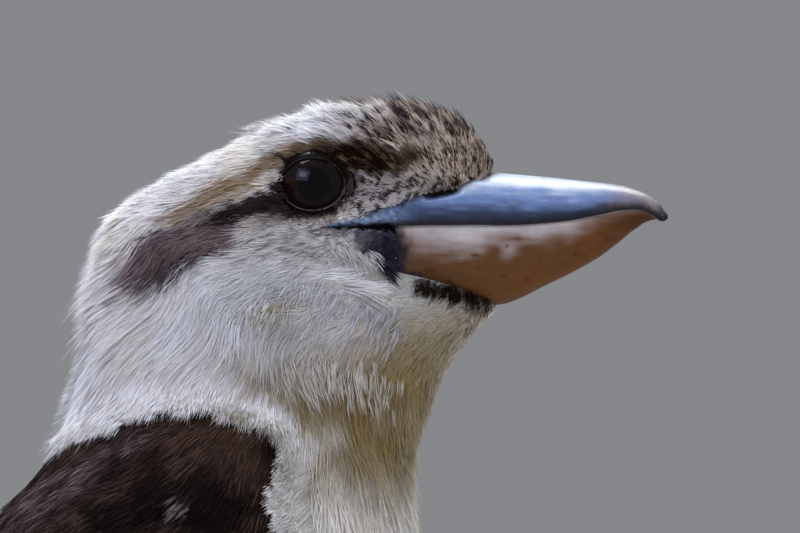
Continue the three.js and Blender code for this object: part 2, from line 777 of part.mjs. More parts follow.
// The origin is on the floor, under the middle of the whole bird.
const extent = new THREE.Box3().setFromObject(kookaburra);
kookaburra.position.set(-(extent.min.x + extent.max.x) / 2, 0, -extent.min.z);

export default kookaburra;
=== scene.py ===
# A laughing kookaburra at life size, standing at rest: skin, plumage, bill, eyes and feet.
# Shapes are worked out in millimetres, with x from the bird's eye and z above the floor.
import math

import bpy
import numpy as np
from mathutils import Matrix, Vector


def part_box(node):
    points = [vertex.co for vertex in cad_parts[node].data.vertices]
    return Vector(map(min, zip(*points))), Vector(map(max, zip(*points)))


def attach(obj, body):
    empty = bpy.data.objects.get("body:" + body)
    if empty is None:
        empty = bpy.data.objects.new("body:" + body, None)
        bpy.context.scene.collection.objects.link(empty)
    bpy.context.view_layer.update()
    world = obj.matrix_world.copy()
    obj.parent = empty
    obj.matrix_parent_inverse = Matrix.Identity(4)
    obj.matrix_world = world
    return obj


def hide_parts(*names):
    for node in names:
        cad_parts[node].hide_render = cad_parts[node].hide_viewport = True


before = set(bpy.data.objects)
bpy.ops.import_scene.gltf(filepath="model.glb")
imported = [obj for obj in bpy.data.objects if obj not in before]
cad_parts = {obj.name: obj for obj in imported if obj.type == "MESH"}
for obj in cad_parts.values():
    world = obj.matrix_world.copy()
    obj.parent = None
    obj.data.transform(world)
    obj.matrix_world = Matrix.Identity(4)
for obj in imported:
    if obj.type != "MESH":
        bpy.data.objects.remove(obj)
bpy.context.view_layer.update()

billReach = 88.2  # from the eye to the tip of the bill
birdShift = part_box("upper_bill")[1].x * 1000 - billReach
eyeHeight = 233
rng = np.random.default_rng(7)
tau = 2 * math.pi


def smoothStep(low, high, value):
    t = np.clip((value - low) / (high - low), 0, 1)
    return t * t * (3 - 2 * t)


def mixed(a, b, share):
    return a + (b - a) * np.asarray(share)[..., None]


def unit(vectors):
    return vectors / np.maximum(np.linalg.norm(vectors, axis=-1, keepdims=True), 1e-9)


def linear(hexText):
    s = np.array([int(hexText[i : i + 2], 16) for i in (1, 3, 5)]) / 255
    return np.where(s <= 0.04045, s / 12.92, ((s + 0.055) / 1.055) ** 2.4)


def readCurve(rows, place):
    rows = np.asarray(rows, float)
    place = np.asarray(place, float)
    last = len(rows) - 1
    i = np.clip(np.floor(place).astype(int), 0, last - 1)
    t = (place - i)[..., None] if rows.ndim > 1 else place - i
    a, b, c, d = (rows[np.clip(i + k, 0, last)] for k in (-1, 0, 1, 2))
    before, after = (c - a) / 2, (d - b) / 2
    squared = 3 * (c - b) - 2 * before - after
    return b + before * t + squared * t**2 + (2 * (b - c) + before + after) * t**3


def readLine(points, x):
    knots = np.asarray(points, float)
    return readCurve(knots[:, 1], np.interp(x, knots[:, 0], np.arange(len(knots))))


def latticeValue(cells, seed):
    h = cells[..., 0] * 73856093 ^ cells[..., 1] * 19349663 ^ cells[..., 2] * 83492791 ^ seed * 40503
    h = (h ^ (h >> 13)) * 1274126177 & 0xFFFFFFFF
    return ((h ^ (h >> 16)) & 0xFFFF) / 65535


def noiseAt(points, size, seed=1):
    scaled = np.asarray(points) / size
    cell = np.floor(scaled).astype(np.int64)
    f = scaled - cell
    f = f * f * (3 - 2 * f)
    total = 0
    for corner in range(8):
        step = np.array([corner & 1, corner >> 1 & 1, corner >> 2 & 1])
        total = total + np.prod(np.where(step, f, 1 - f), axis=-1) * latticeValue(cell + step, seed)
    return total * 2 - 1


def insideOutline(x, z, outline):
    inside = np.zeros(np.shape(x), bool)
    for (x0, z0), (x1, z1) in zip(outline, outline[1:] + outline[:1]):
        if z0 != z1:
            crossing = (z0 > z) != (z1 > z)
            inside ^= crossing & (x < (x1 - x0) * (z - z0) / (z1 - z0) + x0)
    return inside


# How far a point seen from the side lies outside a stroke whose spine is a list of x, z, radius.
def strokeDistance(x, z, spine):
    best = np.full(np.shape(x), 1e9)
    for (x0, z0, r0), (x1, z1, r1) in zip(spine, spine[1:]):
        dx, dz = x1 - x0, z1 - z0
        t = np.clip(((x - x0) * dx + (z - z0) * dz) / (dx * dx + dz * dz), 0, 1)
        best = np.minimum(best, np.hypot(x - x0 - t * dx, z - z0 - t * dz) - (r0 + (r1 - r0) * t))
    return best


def strokeMask(x, z, spine, soft):
    return 1 - smoothStep(-soft, soft, strokeDistance(x, z, spine))


# Makes one piece of a shape: its points, faces, colours and places on the OFBake map.
# The right side mirrors the left one.
def addPiece(name, shape, material, replaced=(), sideName=None):
    points, faces, colours, bakePlace = shape
    points = points.reshape(-1, 3)
    if sideName:
        name, replaced = f"{name}_{sideName}", [f"{node}_{sideName}" for node in replaced]
    if sideName == "right":
        points = points * [1, -1, 1]
        faces = [f[:, ::-1] for f in faces]
    mesh = bpy.data.meshes.new(name)
    mesh.vertices.add(len(points))
    mesh.vertices.foreach_set("co", ((points + [birdShift, 0, 0]) / 1000).astype(np.float32).ravel())
    corners = np.concatenate([f.ravel() for f in faces]).astype(np.int32)
    sizes = np.concatenate([np.full(len(f), f.shape[1]) for f in faces])
    mesh.loops.add(len(corners))
    mesh.loops.foreach_set("vertex_index", corners)
    mesh.polygons.add(len(sizes))
    mesh.polygons.foreach_set("loop_start", (np.cumsum(sizes) - sizes).astype(np.int32))
    mesh.update(calc_edges=True)
    mesh.polygons.foreach_set("use_smooth", np.ones(len(sizes), bool))
    layer = mesh.color_attributes.new("coat", "FLOAT_COLOR", "POINT")
    rgba = np.ones((len(points), 4), np.float32)
    rgba[:, :3] = np.clip(colours.reshape(-1, 3), 0, 1)
    layer.data.foreach_set("color", rgba.ravel())
    uv = mesh.uv_layers.new(name="OFBake")
    uv.data.foreach_set("uv", bakePlace.reshape(-1, 2)[corners].astype(np.float32).ravel())
    mesh.materials.append(material)
    piece = bpy.data.objects.new(name, mesh)
    bpy.context.scene.collection.objects.link(piece)
    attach(piece, "root")
    if replaced:
        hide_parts(*replaced)


# Every pair of two lists of numbers, as a grid.
def lattice(a, b):
    return np.stack(np.meshgrid(a, b, indexing="ij"), -1)


def gridFaces(rows, columns, closed=True):
    cells = lattice(np.arange(rows - 1), np.arange(columns if closed else columns - 1))
    i, j = cells[..., 0] * columns, cells[..., 1]
    k = (j + 1) % columns
    return np.stack([i + j, i + k, i + columns + k, i + columns + j], -1).reshape(-1, 4)


def gridShape(points, colours, bakePlace, closed=True):
    faces = gridFaces(*points.shape[:2], closed)
    return points.reshape(-1, 3), [faces], colours.reshape(-1, 3), bakePlace.reshape(-1, 2)


def joinShapes(shapes):
    first = np.cumsum([0] + [len(points) for points, _, _, _ in shapes])
    faces = [f + base for base, shape in zip(first, shapes) for f in shape[1]]
    points, _, colours, places = zip(*shapes)
    return np.concatenate(points), faces, np.concatenate(colours), np.concatenate(places)


# Five corners of a tapered barb: its root, its middle and its tip.
def barbFaces(count):
    first = np.arange(count)[:, None] * 5
    return np.concatenate([first + corners for corners in ([0, 1, 3], [0, 3, 2], [2, 3, 4])])


# Materials
def newMaterial(name):
    material = bpy.data.materials.new(name)
    material.use_nodes = True
    return material, next(n for n in material.node_tree.nodes if n.type == "BSDF_PRINCIPLED")


# An input is a value, or an output to link from.
def setInputs(material, node, inputs):
    for key, value in inputs.items():
        if isinstance(value, bpy.types.NodeSocket):
            material.node_tree.links.new(value, node.inputs[key])
        else:
            node.inputs[key].default_value = value


# Adds a node with its settings and links.
def addNode(material, kind, inputs=None, **settings):
    node = material.node_tree.nodes.new(kind)
    for key, value in settings.items():
        setattr(node, key, value)
    setInputs(material, node, inputs or {})
    return node


# A material whose colour comes from the colours of the mesh.
def paintedMaterial(name):
    material, shader = newMaterial(name)
    paint = addNode(material, "ShaderNodeAttribute", attribute_name="coat")
    return material, shader, paint.outputs["Color"]


# The place on the object for a pattern, in millimetres if no other scale is given.
def objectPlace(material, scale=(1000, 1000, 1000)):
    coords = addNode(material, "ShaderNodeTexCoord").outputs["Object"]
    return addNode(
        material, "ShaderNodeMapping", {"Vector": coords, "Scale": scale}, vector_type="POINT"
    ).outputs["Vector"]


# The paint, made darker and lighter by a pattern.
def varied(material, paint, pattern, least, most):
    factor = addNode(material, "ShaderNodeMapRange", {"Value": pattern, "To Min": least, "To Max": most})
    inputs = {0: paint, 1: factor.outputs["Result"]}
    return addNode(material, "ShaderNodeVectorMath", inputs, operation="MULTIPLY").outputs["Vector"]


# Small feathers, keratin barbs too fine to part: dull, so that dark feathers stay dark in a raking light.
# grain size in mm
softFinish = {"roughness": 0.85, "specular": 0, "grain": 0.22, "grainSize": 0.5, "detail": 2}
# Vanes of flight and contour feathers: the barbs lie close, so they are smoother and catch a faint gloss.
vaneFinish = {"roughness": 0.6, "specular": 0.06, "grain": 0.4, "grainSize": 0.6, "detail": 3}


def plumage(name, finish):
    material, shader, paint = paintedMaterial(name)
    pattern = {"Vector": objectPlace(material), "Scale": 1 / finish["grainSize"], "Detail": finish["detail"]}
    grain = addNode(material, "ShaderNodeTexNoise", pattern).outputs["Fac"]
    tinted = varied(material, paint, grain, 1 - finish["grain"] / 2, 1 + finish["grain"] / 2)
    setInputs(material, shader, {"Base Color": tinted, "Roughness": finish["roughness"]})
    setInputs(material, shader, {"Specular IOR Level": finish["specular"]})
    return material


# Horn, keratin worn smooth: a satin gloss with fine growth streaks and scratches along the bill.
hornFinish = {
    "streaks": (120, 900, 1400),  # drawn out along the bill
    "least": 0.76, "most": 1.2,  # how dark and how light the streaks are
    "smooth": -0.07, "rough": 0.12,  # change of roughness where it is worn
    "bump": 0.18, "height": 0.0002,
    "coat": 0.4, "coatRoughness": 0.18,
}


def billHorn(name, roughness, gloss):
    material, shader, paint = paintedMaterial(name)
    streaks = addNode(
        material,
        "ShaderNodeTexNoise",
        {"Vector": objectPlace(material, hornFinish["streaks"]), "Scale": 1, "Detail": 4, "Roughness": 0.6},
    ).outputs["Fac"]
    blotches = addNode(
        material, "ShaderNodeTexNoise", {"Vector": objectPlace(material), "Scale": 0.35, "Detail": 4}
    ).outputs["Fac"]
    worn = addNode(
        material,
        "ShaderNodeMapRange",
        {
            "Value": blotches, "From Min": 0.3, "From Max": 0.7,
            "To Min": roughness + hornFinish["smooth"], "To Max": roughness + hornFinish["rough"],
        },
    )
    bump = addNode(
        material,
        "ShaderNodeBump",
        {"Height": streaks, "Strength": hornFinish["bump"], "Distance": hornFinish["height"]},
    )
    setInputs(material, shader, {
        "Base Color": varied(material, paint, streaks, hornFinish["least"], hornFinish["most"]),
        "Roughness": worn.outputs["Result"],
        "Normal": bump.outputs["Normal"],
        "Specular IOR Level": gloss,
        "Coat Weight": hornFinish["coat"] * gloss,
        "Coat Roughness": hornFinish["coatRoughness"],
    })
    return material


# Bare skin of the lids: dark, finely creased and slightly greasy.
lidFinish = {"scale": 1.6, "bump": 0.6, "height": 0.0003, "roughness": 0.6, "specular": 0.03}
# Scaled skin of legs and toes: hard dry plates with fine creases between them.
legFinish = {"scale": 1.1, "bump": 0.5, "height": 0.0004, "roughness": 0.55, "specular": 0.5}


def bareSkin(name, finish):
    material, shader, paint = paintedMaterial(name)
    creases = addNode(
        material,
        "ShaderNodeTexVoronoi",
        {"Vector": objectPlace(material), "Scale": finish["scale"]},
        feature="DISTANCE_TO_EDGE",
    ).outputs["Distance"]
    bump = addNode(
        material, "ShaderNodeBump",
        {"Height": creases, "Strength": finish["bump"], "Distance": finish["height"]}
    )
    setInputs(material, shader, {"Base Color": paint, "Roughness": finish["roughness"]})
    setInputs(material, shader, {"Normal": bump.outputs["Normal"], "Specular IOR Level": finish["specular"]})
    return material


# The eyeball: a wet clear cornea over a dark brown iris, so it mirrors the lights sharply.
def wetEye():
    material, shader, paint = paintedMaterial("wet_eye")
    setInputs(material, shader, {"Base Color": paint, "Roughness": 0.5, "IOR": 1.38})
    setInputs(material, shader, {"Specular IOR Level": 0, "Coat Weight": 0.42})
    setInputs(material, shader, {"Coat Roughness": 0.02, "Coat IOR": 1.55})
    return material


softMaterial = plumage("soft_plumage", softFinish)
vaneMaterial = plumage("vane_plumage", vaneFinish)
upperHorn = billHorn("slate_bill_horn", 0.3, 0.55)
lowerHorn = billHorn("pale_bill_horn", 0.4, 0.25)
clawHorn = billHorn("claw_horn", 0.35, 0.5)
lidMaterial = bareSkin("bare_lid_skin", lidFinish)
eyeMaterial = wetEye()
legMaterial = bareSkin("scaled_skin", legFinish)
print("materials made")


# The body's form
body = {
    # back x, back z, front x, front z, half width, level of the widest point, depth of the coat
    "sections": [
        (45, 235.4, 47, 203, 12.4, 0.5, 0.5),
        (43, 241.5, 44, 200.2, 14, 0.5, 1.3),
        (35.5, 249.2, 39.5, 193.8, 16, 0.5, 2.0),
        (22, 252.6, 34.6, 187, 18.4, 0.48, 2.4),
        (4, 252.4, 30, 178.3, 20.8, 0.47, 2.6),
        (-16, 245.2, 27, 171, 22.8, 0.46, 2.9),
        (-37, 234.6, 25.6, 165, 24.6, 0.46, 3.4),
        (-49.6, 225.6, 25.5, 159, 26.4, 0.47, 4.0),
        (-53.4, 209.5, 26.2, 152.5, 28.6, 0.5, 4.6),
        (-58.2, 190.5, 27.6, 145, 32, 0.5, 5.2),
        (-65.5, 170, 29.7, 134, 37.5, 0.5, 5.8),
        (-78.5, 152.5, 31.6, 119, 43, 0.5, 6.2),
        (-93.5, 134, 30, 100, 46, 0.5, 6.5),
        (-107, 112, 20, 78.5, 46.5, 0.5, 6.5),
        (-118.5, 90.5, -4, 57.5, 42.5, 0.5, 6.5),
        (-129, 71, -42, 42.5, 33.5, 0.5, 6),
        (-138.5, 58.5, -88, 37.5, 22, 0.5, 5),
        (-147, 52.5, -130, 43.5, 13, 0.5, 3.5),
        (-159, 47.5, -148.4, 36.4, 14.5, 0.5, 2.5),
        (-169.7, 37.9, -168.3, 33.8, 15, 0.5, 1),
    ],
    "fullness": 0.8,
    "rowsPerSection": 20,
    "columns": 256,
    # hollows and swellings of the face: x, z, wide, high, depth
    "forms": [
        (2, 233, 12, 9, -1.3),
        (1, 242.6, 12, 3.4, 2.0),
        (19, 229, 9, 6, -1.2),
        (10, 222, 14, 4, -1.2),
        (-3, 208, 18, 9, 1.2),
    ],
}
eye = {"x": 0, "z": eyeHeight, "y": 11.4, "radius": 9.2}
# the opening between the lids, and the width of the bare lids round it, wider before the eye
lid = {"x": -0.6, "wide": 7.7, "high": 6.5, "band": 1.0, "corner": 1.9}
upperFeatherLine = [
    (44.9, 236.6), (40.8, 234.9), (36.8, 233), (32, 232.4), (27, 230.7), (22.5, 228.9), (13.6, 226.1),
    (6, 224),
]
lowerFeatherLine = [
    (19.4, 221.8), (21.3, 216.8), (20.6, 210.8), (30.2, 208.3), (38.7, 205.9), (44.8, 203.5), (47.4, 201)
]
featherLine = upperFeatherLine + [(1.5, 222.2)] + lowerFeatherLine  # where the feathers end on the bill
billOutline = featherLine + [(95, 190), (95, 245), (47, 245)]


def faceForm(x, z):
    return sum(
        depth * np.exp(-(((x - fx) / wide) ** 2) - ((z - fz) / high) ** 2)
        for fx, fz, wide, high, depth in body["forms"]
    )


def bodyPoints(place, turn):
    rows = readCurve(body["sections"], place)
    down = ((1 - np.cos(turn)) / 2) ** (np.log(rows[..., 5]) / math.log(0.5))
    x = rows[..., 0] + (rows[..., 2] - rows[..., 0]) * down
    z = rows[..., 1] + (rows[..., 3] - rows[..., 1]) * down
    roundness = np.abs(np.sin(turn))
    width = rows[..., 4] * roundness ** body["fullness"] + faceForm(x, z) * roundness
    return np.stack([x, np.sign(np.sin(turn)) * width, z], -1)


# A closed grid of points with its directions, which feathers are set on.
def surfaceFrom(points, depth, closed=True):
    along = np.gradient(points, axis=0)
    around = (np.roll(points, -1, 1) - np.roll(points, 1, 1)) / 2 if closed else np.gradient(points, axis=1)
    normal = unit(np.cross(around, along))
    return {
        "points": points, "along": along, "around": around, "normal": normal, "depth": depth,
        "closed": closed,
    }


def readGrid(field, row, column):
    rows, columns = field.shape[:2]
    row = np.clip(row, 0, rows - 1.001)
    i = row.astype(int)
    column = column % columns
    j = column.astype(int) % columns
    k = (j + 1) % columns
    s, t = (row - i)[..., None], (column - np.floor(column))[..., None]
    near = field[i, j] * (1 - t) + field[i, k] * t
    return near * (1 - s) + (field[i + 1, j] * (1 - t) + field[i + 1, k] * t) * s


def onSurface(surface, row, column, height=0):
    rows, columns = surface["points"].shape[:2]
    past = row - np.clip(row, 0, rows - 1.001)
    beside = 0 * column if surface["closed"] else column - np.clip(column, 0, columns - 1.001)
    column = column - beside
    points = (
        readGrid(surface["points"], row, column) + readGrid(surface["along"], row, column) * past[..., None]
    )
    points = points + readGrid(surface["around"], row, column) * beside[..., None]
    return points + readGrid(surface["normal"], row, column) * np.asarray(height)[..., None]


# The way out of the surface and the way along its rows.
def facing(surface, row, column):
    return unit(readGrid(surface["normal"], row, column)), unit(readGrid(surface["along"], row, column))


def angleFromBack(turn):
    return np.minimum(turn, tau - turn)


lastPlace = len(body["sections"]) - 1
placeGrid, turnGrid = np.meshgrid(
    np.linspace(0, lastPlace, lastPlace * body["rowsPerSection"] + 1),
    np.linspace(0, tau, body["columns"], endpoint=False),
    indexing="ij",
)
bodySurface = surfaceFrom(bodyPoints(placeGrid, turnGrid), readCurve(body["sections"], placeGrid)[..., 6:7])


sideCorner = (-200, 20)  # x and z where the lattice begins


# Half width of the body where it is seen at x, z from the side, on a lattice a millimetre apart.
def sideTable():
    x, z = np.meshgrid(np.arange(sideCorner[0], 60), np.arange(sideCorner[1], 262), indexing="ij")
    low, high = np.zeros(x.shape), np.full(x.shape, lastPlace - 2.0)
    for _ in range(20):
        middle = (low + high) / 2
        rows = readCurve(body["sections"], middle)
        ahead = (
            (rows[..., 2] - rows[..., 0]) * (z - rows[..., 1])
            - (rows[..., 3] - rows[..., 1]) * (x - rows[..., 0]) > 0
        )
        high = np.where(ahead, middle, high)
        low = np.where(ahead, low, middle)
    rows = readCurve(body["sections"], low)
    ribX, ribZ = rows[..., 2] - rows[..., 0], rows[..., 3] - rows[..., 1]
    down = np.clip(((x - rows[..., 0]) * ribX + (z - rows[..., 1]) * ribZ) / (ribX**2 + ribZ**2), 0, 1)
    even = down ** (math.log(0.5) / np.log(rows[..., 5]))
    roundness = 2 * np.sqrt(even * (1 - even))
    width = rows[..., 4] * roundness ** body["fullness"] + faceForm(x, z) * roundness
    return np.stack([width, down], -1)


sideLattice = sideTable()


def sideSection(x, z):
    found = readGrid(sideLattice, np.clip(x - sideCorner[0], 0, 258), np.clip(z - sideCorner[1], 0, 240))
    return found[..., 0], found[..., 1]


# Colours of the plumage, with the olive and cool shade painted on it
tint = {
    name: linear(text)
    for name, text in {
        "white": "#eff0f2",
        "warmWhite": "#e9e2d3",
        "coolCheekShade": "#b4bccb",
        "shade": "#a08c56",
        "cream": "#b5a271",
        "buff": "#cbb6a6",
        "paleBuff": "#d3c8bb",
        "greyBuff": "#a79d92",
        "loreGrey": "#b9b5bb",
        "tan": "#94784f",
        "olive": "#72592f",
        "brown": "#4f3a2c",
        "dark": "#2a1d14",
        "deepBrown": "#3a281a",
        "ear": "#897778",
        "earDark": "#3a2e30",
        "stripe": "#2b2122",
        "blueBlack": "#474353",
        "mantle": "#1f1815",
        "mantleEdge": "#54423a",
        "rufous": "#8f5a35",
    }.items()
}
marks = {
    # strokes seen from the side: x, z and radius along each spine
    "earTop": [(-45.5, 216.5, 0.5), (-44, 219, 0.8), (-39, 222.4, 1), (-28.4, 225, 1.2), (-20, 226.9, 1.1)],
    "behindEye": [(-9, 235.6, 1.6), (-15, 233.6, 1.2)],
    "eyeBack": [(-8, 229.8, 1.9), (-16, 227.8, 1.8), (-26, 225.4, 1.7)],
    "gapeFront": [(8.5, 221, 0.8), (12.5, 219.2, 2.2), (17, 216.5, 3)],
    "ear": [
        (-46.5, 210.5, 2.6), (-42.5, 214.5, 4.9), (-37, 217.5, 5.3), (-31, 219.8, 5.1), (-25.5, 221.3, 4.6),
        (-22, 223, 3.6),
    ],
    "earEdge": [(-47, 208, 1), (-41, 209.5, 1.5), (-36, 212.5, 1.6), (-30, 215.3, 1.6), (-25, 217.6, 1.4)],
    "stripe": [
        (-23, 225.5, 2.6), (-19, 227.2, 3.2), (-12, 228.2, 3.2), (-5, 227.4, 2.6), (2, 226.2, 1.6),
        (6, 226.3, 0.8),
    ],
    "paleStreak": [(-21, 230.8, 0.5), (-15, 232.6, 1), (-9.5, 234, 0.9)],
    "tanBand": [
        (-38, 225.6, 0.8), (-31, 228, 2.2), (-25, 230.8, 2.4), (-18, 234.8, 2.4), (-12, 239, 2.4),
        (-5, 242.6, 2), (3, 244.2, 2.2),
    ],
    "forehead": [(11, 243.5, 2.5), (18, 245, 6), (26, 245, 9.5), (35, 243, 10), (43, 240, 6)],
    "nostrilEdge": [(27.5, 232.2, 0.7), (33, 233.3, 0.8), (37.5, 234.4, 0.6)],
    "foreheadDark": [(4, 243.8, 1.4), (9, 242.4, 3), (14, 240, 4.2), (20, 238.8, 3.4), (25, 240.4, 2)],
    "aroundEye": [(-7, 238.5, 1), (0, 241.8, 1.2), (8, 239, 1.6), (11, 233, 1.8), (8, 227.4, 1)],
    "lores": [(9, 227.5, 1.8), (14, 231, 4), (21, 232, 4), (27, 234, 2.8), (31, 235, 2)],
    "nostrilTuft": [(24.5, 233.2, 1.6), (27.5, 235.5, 1.8)],
    "gape": [(20.4, 220, 1.6), (20.2, 217, 2.4), (16, 217.5, 3.6), (18.2, 213.2, 2.6), (20, 211.2, 1.4)],
    "gapeLine": [(0, 221.6, 0.5), (10, 221.4, 1.2), (20, 221.6, 1.4)],
    "chinEdge": [(27, 208, 0.7), (35, 206, 1.4), (42, 204, 1.8), (45.5, 202.5, 1.2)],
    "underStripe": [(-21, 223.6, 1), (-12, 224.4, 1.1), (-2, 224, 1), (5, 224, 0.9)],
    "flecks": [(-22, 219, 3.5), (-12, 219.5, 4.6), (2, 219, 4.6), (9, 218, 2.6)],
    "foldShade": [(-13, 201.3, 1.3), (-6, 202.4, 1.8), (0, 204, 1.2)],
}


# The colour of skin and coat at a point, and how much of the coat there is streaked and flecked.
def markings(points, place, turn):
    fromBack = angleFromBack(turn)
    x, y, z = points[..., 0], points[..., 1], points[..., 2]
    warp = noiseAt(points, 4, 3) * 0.9 + noiseAt(points, 1.6, 4) * 0.5
    wx, wz = x + warp, z + noiseAt(points, 3, 5) * 0.9
    patchy = noiseAt(points, 9, 6)
    base = mixed(tint["white"], tint["warmWhite"], np.clip(0.3 + 0.5 * patchy, 0, 1))

    def lay(colour, amount):
        nonlocal base
        base = mixed(base, tint[colour], np.clip(amount, 0, 1))

    def stroke(name, soft):
        return strokeMask(wx, wz, marks[name], soft)

    def spot(px, pz, wide, high):
        return np.exp(-(((wx - px) / wide) ** 2) - ((wz - pz) / high) ** 2)

    # painted shade, olive with reflected green light, down the side of the neck and on the throat, less at
    # the front middle
    low = smoothStep(203, 178, z) * smoothStep(150, 172, z) * smoothStep(-34, -12, x)
    offMiddle = 0.4 + 0.6 * smoothStep(2, 14, np.abs(y))
    lay("shade", offMiddle * low * np.clip(0.78 + 0.6 * noiseAt(points, 6, 7), 0, 0.95))
    lay(
        "shade",
        0.7 * offMiddle * smoothStep(6, 22, x - 0.25 * (z - 190)) * smoothStep(207, 193, z)
        * smoothStep(156, 172, z),
    )
    # a painted tan shade on the throat
    lay("tan", 0.5 * offMiddle * np.exp(-(((x - 12) / 9) ** 2) - ((z - 181) / 8) ** 2))
    # a painted cool shade on the cheek and the side of the neck
    lay("coolCheekShade", 0.5 * np.exp(-(((x + 14) / 26) ** 2) - ((z - 205) / 19) ** 2) * (0.7 + 0.5 * patchy))
    # painted olive shade in the fold where the cheek feathers lie over the neck
    lay("cream", 0.8 * stroke("foldShade", 1.8))
    brownFans = spot(-49.5, 180, 5.5, 5.5)
    lay("brown", 0.85 * brownFans * smoothStep(-0.4, 0.25, noiseAt(points, 2.5, 10)))
    # a painted shadow under the fringe of white feathers
    lay("shade", 0.8 * spot(-16, 180, 7, 3.5))
    forehead = stroke("forehead", 2.5) * (place < 5.2)
    lay("buff", 0.9 * forehead)
    crown = (1 - smoothStep(3, 7, np.abs(y) + 2 * warp)) * smoothStep(2, 12, x) * (place < 5) * (z > 236)
    lay("buff", 0.75 * crown)
    tanBand = stroke("tanBand", 1.3) * (np.abs(y) > 6)
    lay("tan", 0.8 * tanBand)
    lay("olive", 0.7 * tanBand * smoothStep(-0.3, 0.4, noiseAt(points, 2.2, 8)))
    lay("brown", 0.6 * tanBand * smoothStep(-18, -4, x))
    lay("greyBuff", 0.6 * stroke("behindEye", 1.2))
    foreheadDark = stroke("foreheadDark", 1.8)
    foreheadDark = np.maximum(foreheadDark, spot(7.5, 239.8, 3.5, 1.9))
    lay("brown", 0.8 * stroke("aroundEye", 1.2))
    lores = stroke("lores", 2)
    lay("loreGrey", 0.75 * lores)
    lay("deepBrown", 0.95 * foreheadDark)
    streak = np.maximum(np.maximum(forehead, 0.8 * crown), 0.75 * lores) * (1 - foreheadDark)
    lay("paleBuff", 0.9 * stroke("nostrilTuft", 1.2))
    lay("dark", 0.75 * stroke("nostrilEdge", 0.8))
    underStripe = stroke("underStripe", 0.8)
    lay("tan", 0.5 * underStripe)
    fleck = np.maximum(stroke("flecks", 3), underStripe)
    lay("greyBuff", 0.25 * fleck)
    ear = stroke("ear", 1.1)
    lay("ear", ear)
    fleck = np.maximum(fleck, 0.8 * ear)
    lay("earDark", 0.7 * ear * smoothStep(-0.1, 0.5, noiseAt(points * [1, 1, 1.6], 2.4, 31)))
    lay("stripe", 0.85 * stroke("earTop", 0.9))
    lay("earDark", 0.95 * stroke("earEdge", 1))
    lay("stripe", 0.95 * stroke("stripe", 0.9))
    lay("stripe", 0.9 * stroke("eyeBack", 1))
    lay("paleBuff", 0.85 * stroke("paleStreak", 0.7))
    lay("blueBlack", stroke("gape", 0.9))
    lay("blueBlack", 0.85 * stroke("gapeFront", 1.3))
    lay("ear", 0.5 * stroke("gape", 0.5) * smoothStep(0.3, 0.7, noiseAt(points, 1.1, 29)))
    lay("blueBlack", 0.8 * stroke("gapeLine", 0.6))
    lay("dark", 0.9 * stroke("chinEdge", 1.2) * (np.abs(y) > 3))
    lay(
        "dark",
        0.9 * (1 - smoothStep(0.2, 1.8, distanceToEye(x, z) + 0.4 * warp)) * smoothStep(-10.5, -7.5, x)
        * (place < 7),
    )
    # the brown mantle, and the rufous rump over the tail's root
    mantle = (
        smoothStep(10.15, 10.6, place + 0.12 * warp) * (1 - smoothStep(1.25, 1.5, fromBack + 0.04 * warp))
    )
    lay("mantle", mantle)
    bars = 0.5 + 0.5 * np.sin(x * 0.85 + 2 * patchy)
    rump = mantle * smoothStep(15.6, 16.6, place)
    lay("rufous", rump * (0.35 + 0.65 * bars))
    flank = smoothStep(11.5, 13, place) * (fromBack > 1.4) * (1 - smoothStep(2.2, 2.6, fromBack))
    lay("tan", 0.35 * flank * smoothStep(0.1, 0.6, np.sin(z * 0.9 + 3 * patchy)))
    return base, streak, fleck


bill = {
    "culmen": [
        (-6, 236.4), (20, 237.2), (35, 236.9), (45, 236.1), (57, 235.1), (69, 233.8), (77, 232.7),
        (82.2, 231), (86, 228.6), (88.2, 225.6),
    ],
    "gonys": [
        (-6, 206), (30, 203.6), (46, 203.2), (51, 204.7), (57, 207.7), (63, 210.5), (69, 213.8), (75, 218),
        (81, 222.7), (84, 224.3), (88.2, 225),
    ],
    "half": [
        (-6, 22.2), (1.5, 21), (10, 19), (20, 16.8), (30, 15), (40, 13.2), (50, 11.4), (60, 9.5), (70, 7.2),
        (78, 5), (83, 3.3), (86.5, 1.9), (88.2, 0.5),
    ],
    "mouth": [
        (-6, 222.2), (1.5, 222.2), (12, 222.5), (30, 222.9), (50.8, 223), (63, 224), (72, 225.6),
        (78, 226.7), (82, 226.6), (85, 225), (87, 223.9), (88.2, 224.4),
    ],
    "nostril": {"x": 31.6, "z": 230.9, "long": 4.6, "high": 1.1, "slope": 0.2, "deep": 2.2},
    # rusty stains on the lower bill, as x, z, size
    "stains": [
        (50.3, 219.8, 1.3), (45.5, 216.8, 1.6), (47.8, 217.6, 0.8), (40.3, 215.3, 0.9), (61, 218, 0.7),
        (42, 212.5, 0.6), (28.8, 211.8, 1.2), (73.8, 219.3, 1.2), (56, 214, 0.5), (35, 213.5, 0.5),
        (65.5, 215.5, 0.9), (52.5, 209.5, 1),
    ],
}


def distanceToBill(x, z):
    return np.maximum(strokeDistance(x, z, [(px, pz, 0) for px, pz in featherLine]), 0)


def distanceToEye(x, z):
    return np.hypot(x - lid["x"] - 0.5, (z - eye["z"]) * lid["wide"] / lid["high"]) - 9


def billWidth(x, z):
    top, low, mouth, half = (
        readLine(bill[k], np.clip(x, -6, billReach)) for k in ("culmen", "gonys", "mouth", "half")
    )
    rise = np.where(z > mouth, (z - mouth) / (top - mouth), (mouth - z) / (mouth - low))
    return half * np.sqrt(np.clip(1 - np.clip(rise, 0, 1) ** 2.1, 0, 1))


